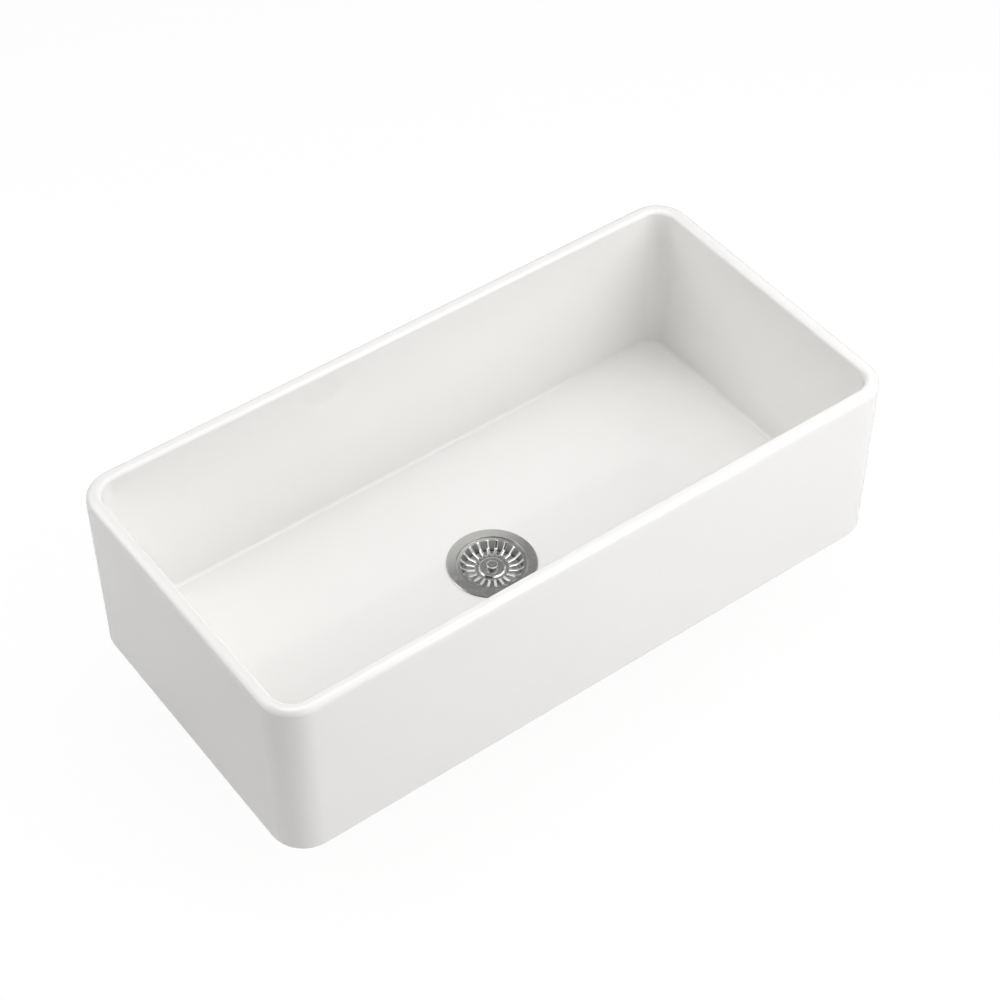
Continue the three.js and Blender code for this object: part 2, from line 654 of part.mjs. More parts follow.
function basket() {
  const group = new THREE.Group();
  group.add(
    named("basket_bowl", basketBowlGeometry(), POLISHED_STEEL),
    named("basket_centre_plate", centrePlateGeometry(), POLISHED_STEEL),
    named("basket_stem", stemGeometry(), BRASS),
    named("basket_knob", knobGeometry(), POLISHED_STEEL),
    named("stopper", stopperGeometry(), GREY_RUBBER),
    named(
      "stopper_washer",
      ring(stemHole, STOPPER_WASHER_RADIUS, stopperWasherTop - STOPPER_WASHER_THICKNESS,
        stopperWasherTop),
      POLISHED_STEEL,
    ),
    named("stem_nut", stemNutGeometry(), BRASS),
    named("stem_o_ring", oRingGeometry(), BLACK_RUBBER),
  );
  return group;
}

const sink = new THREE.Group();
sink.add(named("basin", basinGeometry(), GLAZE), waste(), basket());

export default sink;
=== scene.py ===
"""The looks of a farmhouse apron front sink: a fireclay basin with a basket strainer.

Each sub-assembly is a class that holds its sizes and makes its meshes. Sections are drawn in
millimetres, as (distance from the axis, height), and turned into metres where a mesh is made.
Levels and outer sizes come from the boxes of the frame's nodes, so that every piece sits where
its solid is.
"""

from __future__ import annotations

import cmath
import logging
import math
from collections.abc import Callable, Sequence
from dataclasses import dataclass, field
from enum import Enum, IntEnum

import bmesh
import bpy
import numpy as np
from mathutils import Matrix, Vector, noise

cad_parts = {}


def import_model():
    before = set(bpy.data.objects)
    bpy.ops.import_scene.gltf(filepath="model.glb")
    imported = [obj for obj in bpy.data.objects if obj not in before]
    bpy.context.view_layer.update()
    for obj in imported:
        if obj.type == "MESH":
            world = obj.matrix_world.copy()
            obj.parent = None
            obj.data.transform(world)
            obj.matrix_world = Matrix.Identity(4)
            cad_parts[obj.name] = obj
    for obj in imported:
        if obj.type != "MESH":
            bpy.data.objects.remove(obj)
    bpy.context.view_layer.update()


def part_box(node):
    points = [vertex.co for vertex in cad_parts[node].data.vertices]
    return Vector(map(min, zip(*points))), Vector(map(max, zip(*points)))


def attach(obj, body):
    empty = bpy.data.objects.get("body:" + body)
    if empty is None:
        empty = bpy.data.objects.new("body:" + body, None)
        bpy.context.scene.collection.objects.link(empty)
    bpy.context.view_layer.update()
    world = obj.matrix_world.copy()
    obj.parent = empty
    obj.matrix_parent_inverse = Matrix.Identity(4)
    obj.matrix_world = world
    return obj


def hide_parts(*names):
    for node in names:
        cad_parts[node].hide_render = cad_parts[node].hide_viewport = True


log = logging.getLogger("sink")

MM = 0.001
TAU = 2 * math.pi
GAP = 0.3  # mm kept between faces that touch on the real sink
ROUNDING_STEP = math.radians(13)  # turn between two points of a rounded corner
ROUNDING_ROOM = 0.49  # share of a straight stretch that the rounding at one end may take
SUPPORT = 0.35  # mm from a rounded corner to the row that keeps the flat beside it flat
NEAR = 0.01  # mm within which a row lies on a radius
WELD = 2e-6  # points closer than this many metres become one
CREASE = math.radians(33)  # edges that turn more than this stay sharp
THREAD_ROWS = 8  # rows of a section along one turn of a thread
END_FACE = 0.475  # radius of a nut's end face, as a share of its width across the flats
SIXTH = math.radians(60)
NUT_CHAMFER = math.radians(30)
NOISE_SPAN = (0.3, 0.7)  # where most of the soft noise lies

Array = np.ndarray
Colour = tuple[float, float, float]
Shape = Callable[[Array, Array, Array], tuple[Array, Array]]


class Body(Enum):
    """The bodies of the frame that pieces ride on."""

    SINK = "sink"
    O_RING = "detent_ring"
    BASKET = "basket"


class Sides(IntEnum):
    """Columns of a mesh round the axis, by how wide the piece is."""

    WIDE = 144
    MIDDLING = 96
    NARROW = 72
    SMALL = 64
    THIN = 48


# ---------------------------------------------------------------- sections and meshes
@dataclass(frozen=True)
class Corner:
    """One corner of a section.

    Attributes:
        r: Distance from the axis.
        z: Height.
        round: Radius of the corner's rounding.
        rows: Parts into which the straight stretch after the corner is divided.
    """

    r: float
    z: float
    round: float = 0.0
    rows: int = 1

    @property
    def point(self) -> complex:
        """The corner as a complex number."""
        return complex(self.r, self.z)


@dataclass(frozen=True)
class Envelope:
    """Outer sizes of one node of the frame, in millimetres.

    Attributes:
        radius: Distance from the axis to its side.
        bottom: Its lower end.
        top: Its upper end.
    """

    radius: float
    bottom: float
    top: float

    @classmethod
    def of(cls, node: str) -> Envelope:
        """The outer sizes of a node that is centred on the outlet's axis."""
        low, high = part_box(node)
        return cls(high.x / MM, low.z / MM, high.z / MM)


def rounding(before: complex, here: complex, after: complex, radius: float) -> list[complex]:
    """Points of the arc that rounds one corner.

    Args:
        before: The corner before it.
        here: The corner itself.
        after: The corner after it.
        radius: Radius of the arc, which is cut down where the stretches beside it are short.

    Returns:
        The arc's points, both ends included.
    """
    back = (before - here) / abs(before - here)
    onward = (after - here) / abs(after - here)
    half = abs(cmath.phase(onward / back)) / 2
    room = ROUNDING_ROOM * min(abs(before - here), abs(after - here))
    reach = min(radius / math.tan(half), room)
    centre = here + (back + onward) / abs(back + onward) * reach / math.cos(half)
    start = here + back * reach - centre
    turn = cmath.phase((here + onward * reach - centre) / start)
    steps = max(2, math.ceil(abs(turn) / ROUNDING_STEP))
    return [centre + start * cmath.exp(1j * turn * k / steps) for k in range(steps + 1)]


def outline(corners: Sequence[Corner], closed: bool = True) -> Array:
    """Points of a section.

    Args:
        corners: The section's corners in order.
        closed: True if the last corner joins the first.

    Returns:
        An array of (distance from the axis, height) in millimetres.
    """
    count = len(corners)
    bends = []
    for i, corner in enumerate(corners):
        at_end = not closed and i in (0, count - 1)
        if corner.round and not at_end:
            after = corners[(i + 1) % count].point
            bends.append(rounding(corners[i - 1].point, corner.point, after, corner.round))
        else:
            bends.append([corner.point])
    points: list[complex] = []
    for i, corner in enumerate(corners):
        points += bends[i]
        if not closed and i == count - 1:
            break
        start, end = bends[i][-1], bends[(i + 1) % count][0]
        length = abs(end - start)
        shares = {k / corner.rows for k in range(1, corner.rows)}
        if length > 4 * SUPPORT:
            shares |= {SUPPORT / length, 1 - SUPPORT / length}
        points += [start + (end - start) * share for share in sorted(shares)]
    return np.array([(p.real, p.imag) for p in points])


def around(sides: int) -> Array:
    """Evenly spaced angles of one whole turn."""
    return np.linspace(0.0, TAU, sides, endpoint=False)


def swept(rows: Array, angles: Array, shape: Shape | None = None) -> Array:
    """Sweeps a section about the axis.

    Args:
        rows: The section's points in millimetres.
        angles: The angles at which it is repeated.
        shape: Changes radius and height by angle, for threads, flats and lugs.

    Returns:
        A grid of points in metres, one row for each point of the section.
    """
    theta, radius = np.meshgrid(angles, rows[:, 0])
    height = np.broadcast_to(rows[:, 1:], radius.shape)
    if shape is not None:
        radius, height = shape(theta, radius, height)
    return MM * np.stack([radius * np.cos(theta), radius * np.sin(theta), height], axis=-1)


@dataclass
class Skin:
    """Points and faces gathered for one mesh.

    Attributes:
        points: The points of each grid that was added, in metres.
        faces: The faces of each grid, each as the numbers of its four points.
        count: How many points there are.
    """

    points: list[Array] = field(default_factory=list)
    faces: list[Array] = field(default_factory=list)
    count: int = 0

    def add(self, grid: Array, wrap_rows: bool = False, keep: Array | None = None) -> Skin:
        """Adds a grid of four-sided faces whose columns close round.

        Args:
            grid: Points in metres, as (rows, columns, 3).
            wrap_rows: True if the last row joins the first.
            keep: Which cells of the grid become faces. All of them, if it is left out.

        Returns:
            The skin itself.
        """
        rows, columns = grid.shape[:2]
        index = self.count + np.arange(rows * columns).reshape(rows, columns)
        below = index if wrap_rows else index[:-1]
        above = np.roll(index, -1, axis=0) if wrap_rows else index[1:]
        quads = np.stack(
            [below, np.roll(below, -1, axis=1), np.roll(above, -1, axis=1), above], axis=-1
        )
        self.faces.append(quads.reshape(-1, 4) if keep is None else quads[keep])
        self.points.append(grid.reshape(-1, 3))
        self.count += rows * columns
        return self

    def piece(self, name: str) -> bpy.types.Object:
        """Makes a smooth-shaded object of what was added, with its seams welded.

        Args:
            name: The object's name.

        Returns:
            The new object.
        """
        mesh = bpy.data.meshes.new(name)
        mesh.from_pydata(np.concatenate(self.points), [], np.concatenate(self.faces).tolist())
        weld(mesh)
        piece = bpy.data.objects.new(name, mesh)
        bpy.context.scene.collection.objects.link(piece)
        return piece


def weld(mesh: bpy.types.Mesh) -> None:
    """Joins points that coincide, turns the faces outwards and shades them smooth.

    Args:
        mesh: The mesh that is changed.
    """
    work = bmesh.new()
    work.from_mesh(mesh)
    bmesh.ops.remove_doubles(work, verts=work.verts, dist=WELD)
    bmesh.ops.recalc_face_normals(work, faces=work.faces)
    work.to_mesh(mesh)
    work.free()
    mesh.polygons.foreach_set("use_smooth", [True] * len(mesh.polygons))
    mesh.set_sharp_from_angle(angle=CREASE)


def turned(
    name: str, corners: Sequence[Corner], sides: int, shape: Shape | None = None
) -> bpy.types.Object:
    """Makes a turned piece.

    Args:
        name: The piece's name.
        corners: Its section, closed on itself unless it starts and ends on the axis.
        sides: Number of columns round the axis.
        shape: Changes the turned form by angle.

    Returns:
        The new object.
    """
    closed = corners[0].r > 0
    grid = swept(outline(corners, closed), around(sides), shape)
    return Skin().add(grid, wrap_rows=closed).piece(name)


def settle(piece: bpy.types.Object) -> None:
    """Writes what a piece's modifiers make into its own mesh.

    Args:
        piece: The object that carries the modifiers.
    """
    made = piece.evaluated_get(bpy.context.evaluated_depsgraph_get())
    mesh = bpy.data.meshes.new_from_object(made)
    piece.modifiers.clear()
    piece.data = mesh


@dataclass(frozen=True)
class Thread:
    """A screw thread, cut into the rows of a section that lie at its crest.

    Attributes:
        crest: Outer radius of the thread.
        depth: How deep it is cut.
        pitch: Height of one turn.
        bottom: Where it starts.
        top: Where it ends.
    """

    crest: float
    depth: float
    pitch: float
    bottom: float
    top: float

    @property
    def rows(self) -> int:
        """Rows that the section needs along the thread."""
        return math.ceil((self.top - self.bottom) / self.pitch * THREAD_ROWS)

    def __call__(self, theta: Array, radius: Array, height: Array) -> tuple[Array, Array]:
        """Cuts the groove, which fades out over the last turn at either end.

        Args:
            theta: Angle of each point.
            radius: Its distance from the axis.
            height: Its height.

        Returns:
            The new radius and height of each point.
        """
        # a wave that is cut off above and below, so that crest and root have narrow flats
        groove = np.clip(0.5 - 0.75 * np.cos(TAU * height / self.pitch - theta), 0, 1)
        fade = np.clip(np.minimum(height - self.bottom, self.top - height) / self.pitch, 0, 1)
        on_crest = np.abs(radius - self.crest) < NEAR
        return radius - on_crest * self.depth * groove * fade, height


@dataclass(frozen=True)
class Hexagon:
    """Six flats with softened edges, chamfered at both ends.

    Attributes:
        flats: Width across the flats.
        bottom: Lower end.
        top: Upper end.
        softness: The higher, the sharper the edges between the flats.
    """

    flats: float
    bottom: float
    top: float
    softness: float = 60.0

    @property
    def face(self) -> float:
        """Radius of the round end face inside the chamfer."""
        return END_FACE * self.flats

    def section(self, hole: float) -> list[Corner]:
        """Corners of a plain nut with this outside.

        Args:
            hole: Radius of its hole.

        Returns:
            The section's corners.
        """
        ease = 0.4
        return [
            Corner(hole, self.bottom + ease), Corner(hole + ease, self.bottom),
            Corner(self.face, self.bottom), Corner(self.flats / 2, self.bottom),
            Corner(self.flats / 2, self.top), Corner(self.face, self.top),
            Corner(hole + ease, self.top), Corner(hole, self.top - ease),
        ]

    def __call__(self, theta: Array, radius: Array, height: Array) -> tuple[Array, Array]:
        """Moves the outer rows out to the flats and in from the ends by the chamfer.

        Args:
            theta: Angle of each point.
            radius: Its distance from the axis.
            height: Its height.

        Returns:
            The new radius and height of each point.
        """
        turns = theta[..., None] - SIXTH / 2 - np.arange(6) * SIXTH
        reach = np.maximum(np.cos(turns), 0) ** self.softness
        flat = self.flats / 2 * reach.sum(axis=-1) ** (-1 / self.softness)
        drop = (flat - self.face) * math.tan(NUT_CHAMFER)
        outer = radius > self.flats / 2 - NEAR
        within = np.clip(height, self.bottom + drop, self.top - drop)
        return np.where(outer, flat, radius), np.where(outer, within, height)


# ---------------------------------------------------------------- finishes
class Graph:
    """A tree of shader nodes, written as short calls that give back sockets.

    Attributes:
        tree: The nodes.
        shader: Its Principled shader, if it has one.
        place: Object coordinates, in metres.
        way: The way that a point of the world lies.
        split: The object coordinates, one by one.
    """

    def __init__(self, tree: bpy.types.NodeTree) -> None:
        """Takes up a tree, whose coordinates the calls then use.

        Args:
            tree: The nodes of a material or a world.
        """
        self.tree = tree
        self.shader = tree.nodes.get("Principled BSDF")
        coordinates = self.node("ShaderNodeTexCoord").outputs
        self.place = coordinates["Object"]
        self.way = coordinates["Generated"]
        self.split = self.node("ShaderNodeSeparateXYZ", {0: self.place})

    @classmethod
    def of_new(cls, name: str) -> tuple[bpy.types.Material, Graph]:
        """Starts a material.

        Args:
            name: Its name.

        Returns:
            The material and its nodes.
        """
        material = bpy.data.materials.new(name)
        material.use_nodes = True
        return material, cls(material.node_tree)

    def set(self, node: bpy.types.Node, inputs: dict) -> None:
        """Links or sets a node's inputs, whichever each value asks for.

        Args:
            node: The node.
            inputs: Its inputs by name or number, each a value or a socket.
        """
        for key, value in inputs.items():
            if isinstance(value, bpy.types.NodeSocket):
                self.tree.links.new(value, node.inputs[key])
            else:
                node.inputs[key].default_value = value

    def node(self, kind: str, inputs: dict | None = None, **options: object) -> bpy.types.Node:
        """Adds a node.

        Args:
            kind: Its type.
            inputs: Its inputs by name or number, each a value or a socket.
            options: Its other settings.

        Returns:
            The node.
        """
        made = self.tree.nodes.new(kind)
        for key, value in options.items():
            setattr(made, key, value)
        self.set(made, inputs or {})
        return made

    def dress(self, **inputs: object) -> None:
        """Sets the shader's inputs, with underscores for the spaces in their names."""
        self.set(self.shader, {key.replace("_", " "): value for key, value in inputs.items()})

    def maths(self, operation: str, a: object, b: object = 0.0) -> bpy.types.NodeSocket:
        """A sum, product or other operation on two values."""
        return self.node("ShaderNodeMath", {0: a, 1: b}, operation=operation).outputs[0]

    def spread(
        self, value: object, source: tuple[float, float], target: tuple[float, float]
    ) -> bpy.types.NodeSocket:
        """Maps one range of values smoothly onto another and holds it at both ends.

        Args:
            value: The value that is mapped.
            source: The range that it comes from.
            target: The range that it is mapped to.

        Returns:
            The mapped value.
        """
        inputs = {0: value, 1: source[0], 2: source[1], 3: target[0], 4: target[1]}
        ranged = self.node("ShaderNodeMapRange", inputs, interpolation_type="SMOOTHSTEP")
        return ranged.outputs[0]

    def cloud(
        self, size: float, detail: float = 2.0, where: object = None, rough: float = 0.5
    ) -> bpy.types.NodeSocket:
        """Soft noise.

        Args:
            size: How many millimetres its blotches are across.
            detail: How many finer layers it has.
            where: Coordinates to use instead of the object's.
            rough: Strength of the finer layers.

        Returns:
            A value that mostly lies in NOISE_SPAN.
        """
        inputs = {
            "Vector": self.place if where is None else where,
            "Scale": 1 / (size * MM),
            "Detail": detail,
            "Roughness": rough,
        }
        return self.node("ShaderNodeTexNoise", inputs).outputs[0]

    def stretched(self, x: float, y: float, z: float) -> bpy.types.NodeSocket:
        """Object coordinates, multiplied along each axis."""
        inputs = {0: self.place, 1: (x, y, z)}
        return self.node("ShaderNodeVectorMath", inputs, operation="MULTIPLY").outputs[0]

    def lathe(self, along: float = 0.0) -> bpy.types.NodeSocket:
        """Coordinates that are the same all round the axis, as the marks of turning are.

        Args:
            along: How much the marks wander along the turn.

        Returns:
            A vector of radius, height and a little of the angle.
        """
        x, y, z = self.split.outputs
        radius = self.maths("SQRT", self.maths("ADD", self.maths("MULTIPLY", x, x),
                                               self.maths("MULTIPLY", y, y)))
        angle = self.maths("MULTIPLY", self.maths("ARCTAN2", y, x), along * MM)
        return self.node("ShaderNodeCombineXYZ", {0: radius, 1: z, 2: angle}).outputs[0]

    def tint(self, factor: object, low: Colour, high: Colour) -> bpy.types.NodeSocket:
        """A colour between two others.

        Args:
            factor: Share of the second colour.
            low: The first colour, or a socket that gives it.
            high: The second colour, or a socket that gives it.

        Returns:
            The mixed colour.
        """
        mixed = self.node("ShaderNodeMix", {0: factor}, data_type="RGBA")
        both_colours = mixed.inputs[6:8]  # the inputs before them are for values and vectors
        for socket, colour in zip(both_colours, (low, high)):
            if isinstance(colour, bpy.types.NodeSocket):
                self.tree.links.new(colour, socket)
            else:
                socket.default_value = (*colour, 1.0)
        return mixed.outputs[2]

    def relief(self, height: object, depth: float, over: object = None) -> bpy.types.NodeSocket:
        """Fine relief of the surface.

        Args:
            height: The value that stands for its height.
            depth: Its depth in millimetres.
            over: Coarser relief that it lies on.

        Returns:
            The surface's normal.
        """
        inputs = {"Height": height, "Distance": depth * MM, "Strength": 1.0}
        if over is not None:
            inputs["Normal"] = over
        return self.node("ShaderNodeBump", inputs).outputs[0]


def shade(colour: Colour, factor: float) -> Colour:
    """The colour, darker or lighter by a factor."""
    return tuple(min(1.0, channel * factor) for channel in colour)


@dataclass(frozen=True)
class Finish:
    """A surface finish, which makes one material for all the pieces that wear it.

    Attributes:
        slot: The record's material slot.
        colour: Its main colour, linear.
        roughness: Its mean roughness.
    """

    # slot: Name of the finish, from which its material's name is made.
    slot: str
    colour: Colour
    roughness: float

    def material(self) -> bpy.types.Material:
        """Gives the finish's material.

        Returns:
            The material, which is made the first time it is asked for.
        """
        name = f"{self.slot}_finish"
        made = bpy.data.materials.get(name)
        if made is None:
            made, graph = Graph.of_new(name)
            self.paint(graph)
        return made

    def paint(self, graph: Graph) -> None:
        """Sets up the shader, which every finish does in its own way.

        Args:
            graph: The material's nodes.
        """
        raise NotImplementedError


@dataclass(frozen=True)
class Fireclay(Finish):
    """White glaze down to a wandering line above the foot, and bare fired clay under it.

    Attributes:
        clay: Colour of the bare clay.
        speck: Colour of the grains in it.
        glaze_line: Height in millimetres at which the glaze was wiped off.
        clay_roughness: Roughness of the bare clay.
        grain: Depth of the bare clay's grain, in millimetres.
        peel: Depth of the glaze's orange peel, in millimetres.
    """

    clay: Colour = (0.66, 0.60, 0.50)
    speck: Colour = (0.38, 0.30, 0.22)
    glaze_line: float = 2.4
    clay_roughness: float = 0.85
    grain: float = 0.12
    peel: float = 0.012

    def paint(self, graph: Graph) -> None:
        """Mixes glaze and clay by height.

        Args:
            graph: The material's nodes.
        """
        wander = graph.spread(graph.cloud(9, 2), NOISE_SPAN, (-0.5 * MM, 0.5 * MM))
        height = graph.maths("ADD", graph.split.outputs[2], wander)
        line, soft_edge = self.glaze_line * MM, 0.35 * MM
        glazed = graph.spread(height, (line, line + soft_edge), (0.0, 1.0))

        grains = graph.spread(graph.cloud(0.7, 1), (0.62, 0.7), (0.0, 0.8))
        body = graph.tint(graph.cloud(35, 3), shade(self.clay, 0.93), shade(self.clay, 1.06))
        glaze = graph.tint(graph.cloud(140, 2), shade(self.colour, 0.992), self.colour)
        bare = graph.tint(grains, body, self.speck)
        graph.dress(
            Base_Color=graph.tint(glazed, bare, glaze),
            Roughness=graph.maths(
                "ADD",
                graph.spread(glazed, (0, 1), (self.clay_roughness, self.roughness)),
                graph.spread(graph.cloud(45, 3), NOISE_SPAN, (-0.012, 0.012)),
            ),
            IOR=1.52,
        )
        sandy = graph.maths("MULTIPLY", graph.cloud(0.8, 3), graph.maths("SUBTRACT", 1.0, glazed))
        peel = graph.relief(graph.cloud(14, 1), self.peel)
        graph.dress(Normal=graph.relief(sandy, self.grain, peel))


@dataclass(frozen=True)
class TurnedMetal(Finish):
    """Metal with the fine rings that turning or polishing on a lathe leaves.

    Attributes:
        marks: Width of one ring in millimetres.
        depth: Depth of the rings in millimetres.
        uneven: How much the roughness changes from place to place.
        painted_and_dull_within: Radius inside which the metal is rougher and carries painted light
            and shade, and the height of its wall's foot.
        dullness: How much rougher it is there.
        painted_shading: Colours painted there: painted light on the wall, and painted shade under
            its foot.
    """

    marks: float = 0.12
    depth: float = 0.004
    uneven: float = 0.04
    painted_and_dull_within: tuple[float, float] | None = None
    dullness: float = 0.0
    painted_shading: tuple[Colour, Colour] = ((0.88, 0.88, 0.87), (0.3, 0.3, 0.3))

    def paint(self, graph: Graph) -> None:
        """Adds rings, and blotches of handling on top of them.

        Args:
            graph: The material's nodes.
        """
        lathe = graph.lathe(0.4)
        rings = graph.cloud(self.marks, 3, lathe, 0.65)
        touched = graph.cloud(7, 4)
        change = (-self.uneven, self.uneven)
        rough = graph.maths("ADD", graph.spread(rings, NOISE_SPAN, change),
                            graph.spread(touched, (0.35, 0.65), change))
        colour = graph.tint(rings, shade(self.colour, 0.94), shade(self.colour, 1.04))
        # inside the radius the metal is rougher, and its colour is painted light on the wall and
        # painted shade under the wall's foot
        if self.painted_and_dull_within:
            radius, height, _ = graph.node("ShaderNodeSeparateXYZ", {0: lathe}).outputs
            edge, foot = (limit * MM for limit in self.painted_and_dull_within)
            painted_shading = graph.spread(radius, (edge, edge + MM), (1.0, 0.0))
            # painted light above the wall's foot, painted shade below it
            wall = graph.spread(height, (foot - MM, foot), (0.0, 1.0))
            rough = graph.maths("ADD", rough, graph.maths("MULTIPLY", painted_shading, self.dullness))
            colour = graph.tint(painted_shading, colour, graph.tint(wall, *self.painted_shading[::-1]))
        graph.dress(
            Base_Color=colour,
            Metallic=1.0,
            Roughness=graph.maths("ADD", rough, self.roughness),
            Normal=graph.relief(rings, self.depth),
        )


@dataclass(frozen=True)
class CastMetal(Finish):
    """Die-cast metal, dull and finely grained."""

    def paint(self, graph: Graph) -> None:
        """Adds the grain of the die and the flow marks of the casting.

        Args:
            graph: The material's nodes.
        """
        grain = graph.cloud(0.35, 3)
        flow = graph.cloud(6, 4, graph.stretched(1, 1, 0.4))
        graph.dress(
            Base_Color=graph.tint(flow, shade(self.colour, 0.85), shade(self.colour, 1.12)),
            Metallic=1.0,
            Roughness=graph.spread(flow, NOISE_SPAN,
                                   (self.roughness - 0.08, self.roughness + 0.1)),
            Normal=graph.relief(graph.cloud(2.5, 2), 0.05, graph.relief(grain, 0.03)),
        )


@dataclass(frozen=True)
class Rubber(Finish):
    """Moulded rubber with a faint bloom."""

    def paint(self, graph: Graph) -> None:
        """Adds bloom and fine pores.

        Args:
            graph: The material's nodes.
        """
        bloom = graph.spread(graph.cloud(9, 4), (0.4, 0.75), (0.0, 1.0))
        graph.dress(
            Base_Color=graph.tint(bloom, self.colour, shade(self.colour, 1.9)),
            Roughness=graph.spread(bloom, (0, 1), (self.roughness, self.roughness + 0.12)),
            Normal=graph.relief(graph.cloud(0.4, 2), 0.02),
            Specular_IOR_Level=0.35,
        )


@dataclass(frozen=True)
class PressedFibre(Finish):
    """Vulcanised fibre board: short brown fibres pressed flat."""

    def paint(self, graph: Graph) -> None:
        """Crosses two layers of stretched fibres.

        Args:
            graph: The material's nodes.
        """
        one = graph.cloud(0.5, 4, graph.stretched(0.15, 1, 1), 0.6)
        other = graph.cloud(0.6, 4, graph.stretched(1, 0.2, 1), 0.6)
        fibres = graph.maths("MULTIPLY", one, other)
        weave = graph.spread(fibres, (0.15, 0.38), (0.0, 1.0))
        graph.dress(
            Base_Color=graph.tint(weave, shade(self.colour, 0.72), shade(self.colour, 1.25)),
            Roughness=self.roughness,
            Normal=graph.relief(fibres, 0.06),
        )


@dataclass(frozen=True)
class MouldedPlastic(Finish):
    """Natural nylon, a little translucent, with the faint texture of its mould."""

    def paint(self, graph: Graph) -> None:
        """Adds the mould's texture and a warm cast where the plastic is thicker.

        Args:
            graph: The material's nodes.
        """
        thick = graph.cloud(5, 2)
        graph.dress(
            Base_Color=graph.tint(thick, self.colour, shade(self.colour, 0.93)),
            Roughness=graph.spread(graph.cloud(1.5, 2), NOISE_SPAN,
                                   (self.roughness - 0.06, self.roughness + 0.06)),
            Normal=graph.relief(graph.cloud(0.5, 2), 0.01),
            Subsurface_Weight=0.15,
            Subsurface_Radius=(2.0 * MM, 1.8 * MM, 1.4 * MM),
        )


GLAZE = Fireclay("glaze", (0.918, 0.91, 0.898), 0.085)
SATIN_STEEL = TurnedMetal(
    "satin_steel", (0.56, 0.56, 0.55), 0.25, marks=0.3, depth=0.001, uneven=0.015,
    # painted light on the cup's wall inside 43 mm, painted shade on the seat below -4 mm
    painted_and_dull_within=(43, -4), dullness=0.2,
)
POLISHED_STEEL = TurnedMetal(
    "polished_steel", (0.72, 0.72, 0.71), 0.17, uneven=0.015, depth=0.0004
)
CHROME_PLATE = TurnedMetal("chrome_plate", (0.76, 0.77, 0.78), 0.06, uneven=0.02, depth=0.001)
BRASS = TurnedMetal("brass", (0.72, 0.54, 0.26), 0.26, marks=0.2, depth=0.01)
CAST_ZINC = CastMetal("zinc", (0.46, 0.47, 0.48), 0.42)
BLACK_RUBBER = Rubber("black_rubber", (0.018, 0.018, 0.019), 0.55)
GREY_RUBBER = Rubber("grey_rubber", (0.4, 0.4, 0.39), 0.42)
FIBRE = PressedFibre("fibre", (0.42, 0.26, 0.13), 0.82)
NYLON = MouldedPlastic("nylon", (0.80, 0.78, 0.71), 0.4)


def finished(piece: bpy.types.Object, node: str, body: Body, finish: Finish) -> None:
    """Gives a piece its finish and lets it stand for its node.

    Args:
        piece: The new object.
        node: The frame's node that it stands for.
        body: The body that it moves with.
        finish: What it is made of.
    """
    piece.data.materials.clear()
    piece.data.materials.append(finish.material())
    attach(piece, body.value)
    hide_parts(node)
    log.info("%s: %d faces", piece.name, len(piece.data.polygons))


